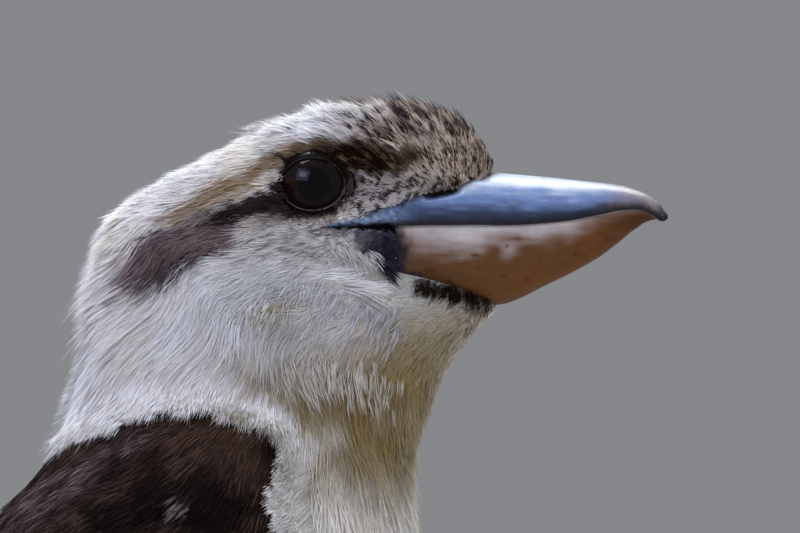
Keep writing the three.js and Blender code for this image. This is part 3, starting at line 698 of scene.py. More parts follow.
# How deep the skin lies under the solid's surface: the coat's depth, but level with the bill where they meet
def coatFloor(points, normal, depth):
    x, z = points[..., 0], points[..., 2]
    nearBill = np.exp(-((distanceToBill(x, z) / 5.5) ** 1.3)) * (np.abs(points[..., 1]) > 4)
    sideways = np.abs(normal[..., 1])
    stands = np.clip((np.abs(points[..., 1]) - billWidth(x, z) - 0.25) * sideways, 0.3, 5)
    nearEye = 1 - smoothStep(1.5, 6, distanceToEye(x, z))
    depth = depth * (1 - 0.35 * nearEye) + 0.5 * nearEye
    n = bill["nostril"]
    byNostril = np.exp(-(((x - n["x"]) / 7) ** 4) - ((z - n["z"] - 0.8) / 2.2) ** 2)
    under = np.where(insideOutline(x, z, billOutline), 0.3 + 1.8 * distanceToBill(x, z) + 3 * byNostril, 0)
    return depth + (np.maximum(stands, 0.3) - depth) * nearBill + under


# Width of the bare lids at this side of the eye
def lidBand(x, z):
    return lid["band"] + lid["corner"] * np.clip(x / np.maximum(np.hypot(x, z), 0.1), 0, 1) ** 2


# Inside the line drawn round the eye at this share of the lids' width
def insideLids(x, z, share):
    x, z = x - lid["x"], z - eye["z"]
    margin = share * lidBand(x, z)
    return (x / (lid["wide"] + margin)) ** 2 + (z / (lid["high"] + margin)) ** 2 < 1


# One surface under the whole coat, with a hole for each eye
def makeSkin():
    # every row of the head and every third row of the rest
    headRows = 7 * body["rowsPerSection"]
    last = len(placeGrid) - 1
    kept = np.concatenate([np.arange(headRows), np.arange(headRows, last, 3), [last]])
    coatTop = bodySurface["points"][kept]
    points = coatTop - (bodySurface["normal"] * bodySurface["depth"])[kept]
    faces = gridFaces(len(kept), body["columns"])
    x, y, z = coatTop.reshape(-1, 3)[faces].mean(1).T
    eyeHole = insideLids(x, z, 0.7) & (np.abs(y) > 8)
    bare = insideOutline(x, z, billOutline) & (distanceToBill(x, z) > 2.5)
    faces = faces[~(eyeHole | bare)]
    place, turn = placeGrid[kept], turnGrid[kept]
    base, streak, fleck = markings(coatTop, place, turn)
    # the skin carries the coat's colours, darkened as painted shade under the tufts
    colours = mixed(base, tint["dark"], 0.35 * streak + 0.1 * fleck) * 0.7
    bakePlace = np.stack([place / lastPlace, turn / tau], -1)
    shape = (points, [faces], colours, bakePlace)
    addPiece("skin", shape, softMaterial, ["head", "neck", "torso"])


bodySurface["depth"] = coatFloor(
    bodySurface["points"], bodySurface["normal"], bodySurface["depth"][..., 0]
)[..., None]
makeSkin()
print("skin made")


# Random rows and columns on a surface, so many to a square millimetre
def scatterRoots(surface, density):
    area = np.linalg.norm(np.cross(surface["along"], surface["around"]), axis=-1)
    weight = (area * density).ravel()
    count = rng.poisson(weight.sum())
    cells = np.searchsorted(np.cumsum(weight), rng.uniform(0, weight.sum(), count))
    cells = np.clip(cells, 0, weight.size - 1)
    columns = area.shape[1]
    row = cells // columns + rng.uniform(-0.5, 0.5, count)
    return np.clip(row, 0, area.shape[0] - 1.001), cells % columns + rng.uniform(-0.5, 0.5, count)


# Steps in row and column for a millimetre along the lie and a millimetre across it.
def lieSteps(surface, row, column, lie):
    along, around = readGrid(surface["along"], row, column), readGrid(surface["around"], row, column)
    normal, ahead = facing(surface, row, column)
    across = np.cross(normal, ahead)
    a, b, c = (along * along).sum(-1), (along * around).sum(-1), (around * around).sum(-1)
    span = np.maximum(a * c - b * b, 1e-9)
    steps = []
    for cosine, sine in ((np.cos(lie), np.sin(lie)), (-np.sin(lie), np.cos(lie))):
        way = ahead * cosine[:, None] + across * sine[:, None]
        alongPart, aroundPart = (way * along).sum(-1), (way * around).sum(-1)
        steps.append(((c * alongPart - b * aroundPart) / span, (a * aroundPart - b * alongPart) / span))
    return steps


tuftPatch = 0.003  # the size of a tuft on the OFBake map


# Tufts of small feathers: each is a fan of narrow tapered barbs.
def growTufts(surface, row, column, look):
    count, blades = len(row), look["blades"]
    fan = np.linspace(-1, 1, blades) + rng.uniform(-0.6, 0.6, (count, blades)) / blades
    length = look["length"][:, None] * (1 - 0.25 * fan**2) * rng.uniform(0.72, 1.1, (count, blades))
    angle = look["spread"] * fan + rng.normal(0, look["stray"], (count, blades))
    curl = rng.normal(0, 0.06, (count, 1)) + rng.normal(0, 0.03, (count, blades))
    share = np.array([0, 0, 0.5, 0.5, 1])
    edge = np.array([-0.4, 0.4, -0.5, 0.5, 0])
    bend = angle[..., None] + curl[..., None] * share
    width = np.broadcast_to(np.asarray(look["width"], float).reshape(-1, 1, 1), (count, 1, 1))
    ahead = length[..., None] * share * np.cos(bend) - edge * width * np.sin(bend)
    rootFan = look["rootHalf"] * fan[..., None] * (1 - look["gather"] * share**2)
    across = rootFan + length[..., None] * share * np.sin(bend) + edge * width * np.cos(bend)
    low = look["rootHeight"][:, None, None]
    high = look["tipHeight"][:, None, None] + rng.uniform(-0.3, 0.3, (count, blades, 1))
    roll = rng.uniform(-0.35, 0.35, (count, blades, 1)) * width
    height = low + (high - low) * share ** look["bow"] + roll * np.sign(edge)
    (dr, dc), (er, ec) = lieSteps(surface, row, column, look["lie"])
    spread = lambda v: v[:, None, None]
    points = onSurface(
        surface,
        spread(row) + ahead * spread(dr) + across * spread(er),
        spread(column) + ahead * spread(dc) + across * spread(ec),
        height,
    )
    # the barbs darken towards the root: partly the grey down at their base, partly painted shade among the
    # tufts
    colours = mixed(look["root"][:, None, None], look["tip"][:, None, None], share**0.7)
    core = np.exp(-((fan / 0.5) ** 2))[..., None] * (0.2 + 0.8 * share)
    core = np.minimum(core * spread(look.get("streak", np.zeros(count))), 1)
    colours = mixed(colours, linear("#2c2224"), core)
    colours = colours * (1 + rng.normal(0, 0.035, (count, blades, 1, 1)))
    rows, columns = surface["points"].shape[:2]
    u = spread(row) / rows + (share - 0.5) * tuftPatch + 0 * fan[..., None]
    v = spread(column % columns) / columns + fan[..., None] * tuftPatch / 2 + 0 * share
    places = np.stack([u, v], -1).reshape(-1, 2)
    return points.reshape(-1, 3), [barbFaces(count * blades)], colours.reshape(-1, 3), places


coat = {
    # length of the tufts in mm, read by place
    "length": [4, 5, 6, 6.8, 7.4, 8.2, 9.2, 10.4, 11.4, 12.4, 13.5, 14, 14.5, 15, 15, 14, 12, 11, 10, 9],
    # tufts to a square millimetre
    "density": [
        1.6, 1.5, 1.4, 1.3, 1.25, 1.2, 1.1, 0.95, 0.85, 0.72, 0.5, 0.3, 0.2, 0.17, 0.17, 0.17, 0.2, 0.2,
        0.2, 0,
    ],
    "width": [
        0.2, 0.2, 0.21, 0.22, 0.23, 0.24, 0.25, 0.26, 0.28, 0.31, 0.37, 0.5, 0.6, 0.66, 0.66, 0.66, 0.6,
        0.6, 0.6, 0.6,
    ],
    "blades": 10,  # barbs to a tuft
    "most": 190000,  # triangles to a piece
}
# Which way the feathers of the head and neck point, seen from the side: x, z, then the way in x and z
lieMap = [
    (45, 238, 0.15, 1), (40, 247, -0.15, 1), (34, 240, -0.35, 0.95), (28, 236, -0.55, 0.85),
    (27, 249, -0.6, 0.8),
    (20, 232, -0.95, 0.1), (17, 240, -0.85, 0.5), (12, 249, -0.9, 0.42), (9, 228, -0.9, -0.35),
    (2, 252, -1, 0.2),
    (-8, 246, -1, 0.05), (-18, 242, -1, -0.12), (-30, 236, -1, -0.1), (-47, 228, -1, -0.12),
    (-51, 218, -0.98, -0.25),
    (-14, 232, -0.95, -0.3), (-26, 229, -0.9, -0.4), (0, 222, -1, -0.12), (-18, 219, -0.98, -0.2),
    (-34, 218, -0.9, -0.42),
    (-44, 213, -0.85, -0.5), (3, 213, -0.9, -0.3), (14, 215, -0.35, -0.9), (-20, 208, -0.92, -0.4),
    (-42, 204, -0.87, -0.5),
    (-34, 197, -0.68, -0.72), (-16, 196, -0.8, -0.6), (-38, 189, -0.3, -0.95), (-8, 187, -0.15, -1),
    (-54, 196, -0.55, -0.85),
    (-62, 178, -0.45, -0.9), (-30, 178, -0.25, -1), (8, 205, -0.95, -0.2), (30, 203, -0.97, -0.2),
    (14, 190, -0.4, -0.9),
    (24, 180, -0.1, -1), (22, 195, -0.7, -0.6), (10, 172, 0.05, -1), (27, 160, 0.1, -1),
    (-20, 165, -0.2, -1),
]


def lieWay(points):
    x, z = points[..., 0], points[..., 2]
    way = np.zeros(points.shape)
    for px, pz, dx, dz in lieMap:
        weight = 1 / ((x - px) ** 2 + (z - pz) ** 2 + 6) ** 1.6
        way[..., 0] += weight * dx
        way[..., 2] += weight * dz
    return unit(way)


def lieAngle(way, normal, ahead):
    flat = way - normal * (way * normal).sum(-1, keepdims=True) + 0.2 * ahead
    return np.arctan2((flat * np.cross(normal, ahead)).sum(-1), (flat * ahead).sum(-1))


def tuftLook(row, column, blades):
    count = len(row)
    place = row / body["rowsPerSection"]
    points = onSurface(bodySurface, row, column)
    x, z = points[:, 0], points[:, 2]
    normal, ahead = facing(bodySurface, row, column)
    way = mixed(lieWay(points), ahead, smoothStep(8.6, 10.4, place))
    stands = np.clip((way * normal).sum(-1), 0, 1)
    lie = lieAngle(way, normal, ahead)
    lie = lie + 0.14 * noiseAt(points, 12, 11) + 0.05 * noiseAt(points, 4, 12) + rng.normal(0, 0.07, count)
    depth = readGrid(bodySurface["depth"], row, column)[:, 0]
    nearBill, nearEye = distanceToBill(x, z), distanceToEye(x, z)
    onHead = place < 8
    length = readCurve(coat["length"], place) * np.where(onHead, 0.5 + 0.5 * smoothStep(0, 26, nearBill), 1)
    beforeEye = (x > -5) & (nearEye < 14)
    length = np.where(beforeEye, np.minimum(length, 2.1 + 0.42 * np.maximum(nearEye, 0)), length)
    length = length * (0.5 + 0.5 * smoothStep(0, 9, nearEye)) * rng.uniform(0.85, 1.15, count)
    (dr, dc), _ = lieSteps(bodySurface, row, column, lie)
    middleRow, middleColumn = row + 0.5 * length * dr, column + 0.5 * length * dc
    turn = (middleColumn % body["columns"]) / body["columns"] * tau
    middle = onSurface(bodySurface, middleRow, middleColumn)
    base, streak, fleck = markings(middle, middleRow / body["rowsPerSection"], turn)
    # among buff tufts many are dark brown, and some on the cheek
    darkTuft = rng.random(count) < 0.38 * streak
    paleTuft = (rng.random(count) < 0.5 * streak) & ~darkTuft
    base = np.where(darkTuft[:, None], tint["dark"] * 2, base)
    base = np.where(paleTuft[:, None], mixed(base, tint["paleBuff"], np.full(count, 0.6)), base)
    centre = (rng.random(count) < 0.5 * fleck) * rng.uniform(0.7, 1.5, count)
    clump = noiseAt(middle, 2.6, 9)
    shade = rng.normal(1, 0.075, (count, 1)) * (1 + 0.13 * clump[:, None])
    bright = base.mean(-1, keepdims=True)
    nape = smoothStep(-34, -46, x) * smoothStep(190, 205, z)
    lift = (
        rng.uniform(0.1, 0.75, count) * stands * length + 1.6 * nape * rng.uniform(0, 1, count) ** 3
        + 0.4 * clump
    )
    plume = (rng.random(count) < 0.12) & (place > 5) & (place < 11.5)
    length = np.where(plume, length * 1.4, length)
    # by the lids the tufts rise out of the bare skin
    byLid = (1 - smoothStep(0.8, 3.5, nearEye)) * (place < 7)
    tipHeight = -depth + np.minimum(0.66 * depth, 0.2 * length) + lift + np.where(plume, 0.6, 0)
    tipHeight = np.maximum(tipHeight, -4 + byLid * rng.uniform(2.2, 3.2, count))
    return {
        "blades": blades,
        "length": length,
        "spread": np.interp(place, [0, 6, 9], [0.22, 0.2, 0.13]).reshape(-1, 1),
        "stray": 0.05,
        "gather": 0.25,
        "width": readCurve(coat["width"], place) * np.where(plume, 0.8, 1),
        "rootHalf": np.interp(place, [0, 3, 7, 9, 12], [0.5, 0.55, 0.9, 1.5, 2]).reshape(-1, 1, 1),
        "rootHeight": -depth - 0.2 + byLid * (depth - 1.9),
        "tipHeight": tipHeight,
        "bow": 0.75,
        "lie": lie,
        # roots darker than tips: partly grey down, partly painted shade among the tufts
        "root": base * (0.56 + 0.18 * bright) * shade,
        "tip": np.clip(base * 1.04 * shade, 0, 1),
        "streak": centre,
    }


# Dark bristly feathers that stand out of the forehead and crown
def growBristles():
    x, z = bodySurface["points"][..., 0], bodySurface["points"][..., 2]
    onTop = smoothStep(-4, 8, x) * smoothStep(240, 246, z) * (placeGrid < 4.6)
    row, column = scatterRoots(bodySurface, 0.2 * onTop)
    look = tuftLook(row, column, 7)
    count = len(row)
    forward = smoothStep(3, 15, onSurface(bodySurface, row, column)[:, :1])
    dark = rng.random((count, 1)) < 0.7 * forward
    pale = mixed(tint["white"], tint["paleBuff"], forward[:, 0])
    pale = mixed(look["tip"], pale, 0.5 * smoothStep(0.12, 0.3, look["tip"].mean(-1)))
    colour = np.where(dark, linear("#43363a"), pale) * rng.normal(1, 0.1, (count, 1))
    look.update(
        length=rng.uniform(4.5, 8, count), spread=0.04, stray=0.03, gather=0.85, width=np.full(count, 0.28),
        rootHalf=0.6, tipHeight=look["tipHeight"] + rng.uniform(0.3, 3, count),
        root=colour * 0.8, tip=colour,
        lie=look["lie"] + rng.normal(0, 0.12, count),
    )
    addPiece("coat_bristles", growTufts(bodySurface, row, column, look), softMaterial)
    print("bristles", count)


# Loose hairs, listed in clumps: the line of their roots seen from the side, their number, the way they
# point, their sizes in mm and how far they scatter
wispKeys = ("start", "end", "clumps", "hairs", "way", "length", "width", "lift", "colour", "jitter")
wisps = {
    "chinBarbs": ((2, 210.6), (12, 206), 10, 4, (1, 0.06), (8, 14), 0.2, (0.3, 1.6), "#eff0ef", 0.6),
    "gapeWhite": ((5, 219.5), (13.5, 216), 18, 3, (0.5, -0.85), (4, 7), 0.18, (-0.7, 0.4), "#cfcdc9", 1.2),
    "mouthLine": ((6, 222.8), (21, 222.5), 44, 1, (-1, -0.02), (2.2, 3.2), 0.22,
                  (0.1, 0.4), "#141116", 0.07),
    "eyeCorner": ((-7.6, 229.6), (-8.7, 233.6), 16, 3, (-1, -0.2), (2.2, 3.8), 0.22,
                  (0.2, 0.8), "#372e31", 0.5),
    "lidTop": ((-7, 239.3), (7, 240.6), 26, 2, (-1, 0.2), (2, 3.2), 0.22, (0, 0.7), "#2a1f1a", 0.6),
    "browDark": ((7, 239), (21, 240), 60, 2, (-0.9, 0.42), (3, 5), 0.22, (0.1, 1), "#2a1b12", 2.4),
    "browBuff": ((8, 237), (22, 243), 34, 1, (-0.9, 0.42), (2.5, 4.5), 0.18, (0.3, 1.1), "#85705c", 2.8),
    "gapeDark": ((17.5, 221.5), (19, 211.5), 14, 6, (0.75, -0.6), (2.5, 4.6), 0.26,
                 (0.6, 1.5), "#3a3541", 0.6),
    "loreStreaks": ((10, 227.4), (30, 234), 30, 1, (0.8, 0.6), (1.6, 3), 0.16, (0.2, 1), "#3a3033", 1.9),
    "chinDark": ((27, 208), (45, 203), 22, 5, (-0.9, -0.35), (3, 5), 0.26, (-0.4, 0.8), "#35261c", 0.6),
    "napeTufts": ((-47, 229), (-55, 203), 17, 9, (-0.93, -0.36), (6, 9.5), 0.28,
                  (2.2, 5.4), "#eeebe0", 0.6),
    "neckTufts": ((-56, 200), (-66, 172), 8, 8, (-0.45, -0.9), (7, 10), 0.3, (1, 2.6), "#eceded", 0.6),
    "cheekFold": ((-14, 203.5), (2, 200), 14, 5, (-0.45, -0.9), (5, 7.5), 0.22, (0, 1.4), "#d3d2d0", 1.6),
    "throatTufts": ((-10, 189), (20, 185), 13, 9, (-0.12, -1), (6.5, 10), 0.26, (0.4, 1.9), "#cfcabd", 2.2),
    "cheekTufts": ((-6, 211), (22, 199), 12, 8, (-0.5, -0.87), (5.5, 8.5), 0.2, (-0.2, 1), "#cbccd0", 2.4),
    "crownSpikes": ((13, 251.5), (-12, 247.5), 13, 7, (-1, 0.3), (6, 9.5), 0.28,
                    (1.2, 3.4), "#f1f1ef", 0.6),
}


def growWisps():
    grid = bodySurface["points"][: 10 * body["rowsPerSection"]]
    parts = []
    for settings in wisps.values():
        spec = dict(zip(wispKeys, settings))
        (x0, z0), (x1, z1) = spec["start"], spec["end"]
        for side in (1, -1):
            away = rng.uniform(0, 1, spec["clumps"])
            row, column = [], []
            for x, z in zip(x0 + (x1 - x0) * away, z0 + (z1 - z0) * away):
                for _ in range(spec["hairs"]):
                    dx, dz = rng.normal(0, spec["jitter"], 2)
                    gap = (grid[..., 0] - x - dx) ** 2 + (grid[..., 2] - z - dz) ** 2
                    cell = np.unravel_index((gap + 1e6 * (grid[..., 1] * side < 0)).argmin(), gap.shape)
                    row.append(cell[0] + rng.uniform(-0.5, 0.5))
                    column.append(cell[1] + rng.uniform(-0.5, 0.5))
            row, column = np.maximum(np.array(row), 0), np.array(column)
            count = len(row)
            normal, ahead = facing(bodySurface, row, column)
            way = unit(np.array([[spec["way"][0], 0, spec["way"][1]]]) + np.zeros((count, 3)))
            clump = np.repeat(rng.normal(0, 0.16, (spec["clumps"], 1)), spec["hairs"])
            bright = np.repeat(rng.normal(1, 0.08, (spec["clumps"], 1)), spec["hairs"])[:, None]
            colour = linear(spec["colour"]) * bright * rng.normal(1, 0.05, (count, 1))
            lift = (
                np.repeat(rng.uniform(*spec["lift"], spec["clumps"]), spec["hairs"])
                + rng.normal(0, 0.15, count)
            )
            look = {
                "blades": 4, "length": rng.uniform(*spec["length"], count), "spread": 0.05, "stray": 0.05,
                "gather": 0.7,
                "width": np.full(count, spec["width"]), "rootHalf": 0.4, "bow": 0.8,
                "rootHeight": -readGrid(bodySurface["depth"], row, column)[:, 0], "tipHeight": lift,
                "lie": lieAngle(way, normal, ahead) + clump + rng.normal(0, 0.05, count),
                "root": colour * 0.75, "tip": colour,
            }
            parts.append(growTufts(bodySurface, row, column, look))
    shape = joinShapes(parts)
    addPiece("coat_wisps", shape, softMaterial)
    print("wisps", len(shape[0]) // 5)


# The folded wing seen from the side, root to tip, and how far it stands off the body
wing = {
    "lower": [(0, 126), (-10, 110), (-35, 93), (-65, 77), (-95, 63), (-125, 53), (-155, 45.5), (-186, 38)],
    "upper": [
        (-12, 171), (-36, 174), (-64, 156), (-90, 129), (-114, 98), (-131, 73), (-150, 58.5), (-186, 43)
    ],
    "tipHalf": 15,  # half the distance between the two wing tips
    "tipX": -186,
    "flare": 0.2,  # how fast the wings part ahead of the tips
    "lean": 0.6,  # how far the upper edge leans in over the back
}
wingOutline = wing["lower"] + wing["upper"][::-1]


def growCoat():
    place = placeGrid
    x, z = bodySurface["points"][..., 0], bodySurface["points"][..., 2]
    density = readCurve(coat["density"], place)
    bare = insideOutline(x, z, billOutline) | insideLids(x, z, 0.3)
    middle = np.mean(wingOutline, axis=0)
    covered = [tuple(middle + (np.array(corner) - middle) * 0.84) for corner in wingOutline]
    density = np.where(bare | insideOutline(x, z, covered), 0, density)
    fromBack = angleFromBack(turnGrid)
    density = np.where((place > 10.9) & (fromBack < 1.15), 0, density)
    face = 1 + 0.9 * (1 - smoothStep(0, 16, distanceToBill(x, z))) * (place < 6)
    density = np.maximum(density, 0) * face
    onTop = (place < 5.4) & (fromBack < 1.3)
    behind = (place >= 5.4) & (fromBack < 1.2)
    cheek = (place < 9.4) & ~onTop & ~behind
    regions = {
        "forehead": (place < 2.6) & onTop,
        "crown": (place >= 2.6) & onTop,
        "nape": (place < 9.4) & behind,
        "cheek_left": cheek & (turnGrid < math.pi),
        "cheek_right": cheek & (turnGrid >= math.pi),
        "breast": (place >= 9.4) & (place < 12.2),
        "belly": place >= 12.2,
    }
    for name, region in regions.items():
        row, column = scatterRoots(bodySurface, density * region)
        look = tuftLook(row, column, coat["blades"])
        points, (faces,), colours, places = growTufts(bodySurface, row, column, look)
        parts = max(1, math.ceil(len(faces) / coat["most"]))
        order = np.argsort(np.repeat(row, coat["blades"]), kind="stable")
        for part, chosen in enumerate(np.array_split(order, parts)):
            vertices = (chosen[:, None] * 5 + np.arange(5)).ravel()
            shape = (points[vertices], [barbFaces(len(chosen))], colours[vertices], places[vertices])
            number = f"_{part + 1}" if parts > 1 else ""
            addPiece(f"coat_{name}{number}", shape, softMaterial)
        print("coat", name, len(row), "tufts", len(faces), "triangles")


growCoat()
growBristles()
growWisps()


# Vanes: rows of barbs on either side of a shaft
def vanes(centre, side, normal, look):
    count, samples = centre.shape[:2]
    barbs = look["barbs"]
    t = np.linspace(look.get("start", 0.04), 0.985, barbs)
    step = (t[1] - t[0]) * 0.56
    sign = np.array([-1, 1])
    stations = np.array([0, 0.55, 1])
    outline = look["outline"](t)
    reach = (
        np.asarray(look["half"], float).reshape(-1, 1, 1) * outline
        * np.stack([1 - look["skew"], 1 + look["skew"]])[:, None]
    )
    reach = reach * rng.uniform(0.93, 1.05, (count, 2, barbs))
    wander = rng.normal(0, look["fray"], (count, 2, barbs, 1))
    frayed = wander * stations**2 / look["length"].reshape(-1, 1, 1, 1)
    slant = reach[..., None] * stations * look["slant"] / look["length"].reshape(-1, 1, 1, 1) + frayed
    narrow = np.array([1, 1, look.get("tipWidth", 0.55)])
    pair = np.array([-1, 1])
    at = t[:, None, None] + slant[..., None] + step * narrow[:, None] * pair
    out = (reach[..., None] * stations * sign[:, None, None])[..., None] + 0 * pair
    index = np.clip(at, 0, 1) * (samples - 1)
    i = np.clip(index.astype(int), 0, samples - 2)
    f = (at * (samples - 1) - i)[..., None]
    who = np.arange(count).reshape(-1, 1, 1, 1, 1)
    read = lambda field: field[who, i] * (1 - f) + field[who, i + 1] * f
    across = np.abs(out) / np.maximum(np.asarray(look["half"]).reshape(-1, 1, 1, 1, 1), 1e-6)
    rise = (
        -look["camber"] * across**2
        + rng.normal(0, look["ruffle"], (count, 2, barbs, 1, 1)) * stations[:, None]
    )
    rise = rise + pair * look["relief"] * (0.2 + 0.8 * stations[:, None])
    points = read(centre) + read(side) * out[..., None] + read(normal) * rise[..., None]
    colours = look["paint"](at, out, across)
    blades = count * 2 * barbs
    first = np.arange(blades)[:, None] * 6
    quads = np.concatenate([first + q for q in ([0, 1, 3, 2], [2, 3, 5, 4])])
    u = look["bakeU"].reshape(-1, 1, 1, 1, 1) + (at - 0.5) * look["patch"][0]
    v = look["bakeV"].reshape(-1, 1, 1, 1, 1) + out / np.max(look["half"]) / 2 * look["patch"][1]
    allPoints = [points.reshape(-1, 3)]
    allColours = [np.broadcast_to(colours, points.shape).reshape(-1, 3)]
    allPlaces = [np.stack([u, v], -1).reshape(-1, 2)]
    faces = [quads]
    if look.get("shaft"):
        # the shaft is a low ridge that tapers to the tip
        tt = np.linspace(0, 0.97, samples)
        thick = look["shaft"] * (1 - 0.8 * tt)
        ridge = np.array([[-0.5, 0], [0, 0.6], [0.5, 0]])
        index = tt * (samples - 1)
        i = np.clip(index.astype(int), 0, samples - 2)
        f = (index - i)[:, None]
        shaftRead = lambda field: field[:, i] * (1 - f) + field[:, i + 1] * f
        c, s, n = shaftRead(centre), shaftRead(side), shaftRead(normal)
        shaftPoints = c[:, :, None] + s[:, :, None] * (ridge[:, 0] * thick[:, None])[..., None]
        shaftPoints = shaftPoints + n[:, :, None] * (ridge[:, 1] * thick[:, None] + 0.06)[..., None]
        strip = gridFaces(samples, 3, False)
        base = len(allPoints[0])
        faces.append((base + np.arange(count)[:, None, None] * samples * 3 + strip).reshape(-1, 4))
        allPoints.append(shaftPoints.reshape(-1, 3))
        shaftColour = np.broadcast_to(np.asarray(look["shaftColour"]), shaftPoints.shape)
        allColours.append(shaftColour.reshape(-1, 3))
        su = look["bakeU"].reshape(-1, 1, 1) + (tt[:, None] - 0.5) * look["patch"][0] + 0 * ridge[:, 0]
        sv = look["bakeV"].reshape(-1, 1, 1) + 0 * tt[:, None] + ridge[:, 0] * 0.001
        allPlaces.append(np.stack([su, sv], -1).reshape(-1, 2))
    return np.concatenate(allPoints), faces, np.concatenate(allColours), np.concatenate(allPlaces)


def roundTip(power, root=0.45):
    return lambda t: np.minimum(1, root + 1.8 * t) * np.sqrt(np.maximum(1 - t**power, 0.02))


# Contour feathers set on the body's surface in staggered rows.
def growFeathers(surface, row, column, look):
    samples = 8
    t = np.linspace(0, 1, samples)
    (dr, dc), _ = lieSteps(surface, row, column, look["lie"])
    length = look["length"]
    r = row[:, None] + (length * dr)[:, None] * t
    c = column[:, None] + (length * dc)[:, None] * t
    height = look["rootHeight"][:, None] + (look["tipHeight"] - look["rootHeight"])[:, None] * t**look["bow"]
    centre = onSurface(surface, r, c, height)
    normal = unit(readGrid(surface["normal"], r, c))
    tangent = unit(np.gradient(centre, axis=1))
    side = unit(np.cross(normal, tangent))
    normal = unit(np.cross(tangent, side))
    rows, columns = surface["points"].shape[:2]
    look = {
        **look, "bakeU": row / rows, "bakeV": (column % columns) / columns,
        "patch": (4 * tuftPatch, 4 * tuftPatch),
    }
    return vanes(centre, side, normal, look)


mantleRows = {
    "first": 10.35, "last": 18.4,  # sections of the body
    "round": 16.5,  # from here on the feathers go all round the rump
    "rowSpacing": 4.6, "sideSpacing": 6.2,
    "reach": 1.5,  # how far the feathers of the back go down the sides, in radians
}


def mantleRoots():
    perSection, columns, nearBack = body["rowsPerSection"], body["columns"], 20.0
    places, place = [], mantleRows["first"]
    while place < mantleRows["last"]:
        places.append(place)
        step = readGrid(bodySurface["along"], np.array([place * perSection]), np.array([nearBack]))
        place += mantleRows["rowSpacing"] / (np.linalg.norm(step) * perSection)
    row, column = [], []
    for k, place in enumerate(places):
        reach = mantleRows["reach"] if place < mantleRows["round"] else math.pi
        arc = np.cumsum(np.linalg.norm(bodySurface["around"][int(place * perSection)], axis=-1))
        limit = arc[int(reach / tau * columns) - 1]
        number = max(2, int(2 * limit / mantleRows["sideSpacing"]))
        offsets = (np.arange(number) + 0.5 * (k % 2) + 0.25) / number * 2 - 1
        for s in offsets + rng.normal(0, 0.12 / number, number):
            where = np.interp(abs(s) * limit, arc, np.arange(columns))
            row.append(place * perSection + rng.normal(0, 0.8))
            column.append(where if s > 0 else columns - where)
    return np.array(row), np.array(column) % columns


def growMantle():
    row, column = mantleRoots()
    count = len(row)
    place = row / body["rowsPerSection"]
    turn = column / body["columns"] * tau
    points = onSurface(bodySurface, row, column)
    depth = readGrid(bodySurface["depth"], row, column)[:, 0]
    base, _, _ = markings(points, np.maximum(place, 10.8), turn)
    under = smoothStep(1.5, 1.9, angleFromBack(turn))
    base = mixed(base, tint["warmWhite"], under)
    length = np.interp(place, [10.3, 12, 14, 16, 18], [12, 17, 19, 18, 22]) * rng.uniform(0.9, 1.1, count)
    shade = rng.normal(1, 0.09, (count, 1))
    barred = smoothStep(15.4, 16.4, place)

    def paint(at, out, across):
        colour = (base * shade)[:, None, None, None, None, :]
        edge = smoothStep(0.5, 1.0, across) * 0.25 + 0.3 * smoothStep(0.8, 1.02, at)
        colour = mixed(colour, tint["mantleEdge"], edge * (1 - under).reshape(-1, 1, 1, 1, 1))
        bars = smoothStep(0.3, 0.75, np.sin(at * 17)) * (barred * (1 - under)).reshape(-1, 1, 1, 1, 1)
        return mixed(colour, tint["dark"], bars)

    look = {
        "barbs": 26,
        "half": np.interp(place, [10.3, 12, 18], [4.8, 6.4, 6.6]) * rng.uniform(0.9, 1.1, count),
        "length": length,
        "skew": 0,
        "slant": 0.9,
        "outline": roundTip(3, 0.5),
        "fray": 0.5,
        "camber": 0.9,
        "ruffle": 0.06,
        "relief": 0.03,
        "paint": paint,
        "lie": rng.normal(0, 0.09, count),
        "rootHeight": -depth * 0.8,
        "tipHeight": -0.15 * depth + rng.uniform(-0.4, 0.5, count),
        "bow": 0.7,
        "shaft": 0.2,
        "shaftColour": tint["dark"],
    }
    addPiece("coat_mantle", growFeathers(bodySurface, row, column, look), vaneMaterial)
    print("mantle", count, "feathers")


growMantle()


# Wing
def wingDepth(x, z):
    width, down = sideSection(x, z)
    leaning = smoothStep(-160, -125, x) * (1 - smoothStep(0, 0.5, down))
    behind = (wing["tipHalf"] + wing["flare"] * (x - wing["tipX"])) * (1 - wing["lean"] * leaning)
    behind = behind - 1.2 * np.maximum(0, x + 105)
    return (width + behind + np.hypot(width - behind, 5)) / 2


def wingPoint(share, level):
    low = readCurve(wing["lower"], share * 7)
    high = readCurve(wing["upper"], share * 7)
    return mixed(low, high, level)


def onWing(spot, height):
    return np.stack([spot[..., 0], wingDepth(spot[..., 0], spot[..., 1]) + height, spot[..., 1]], -1)


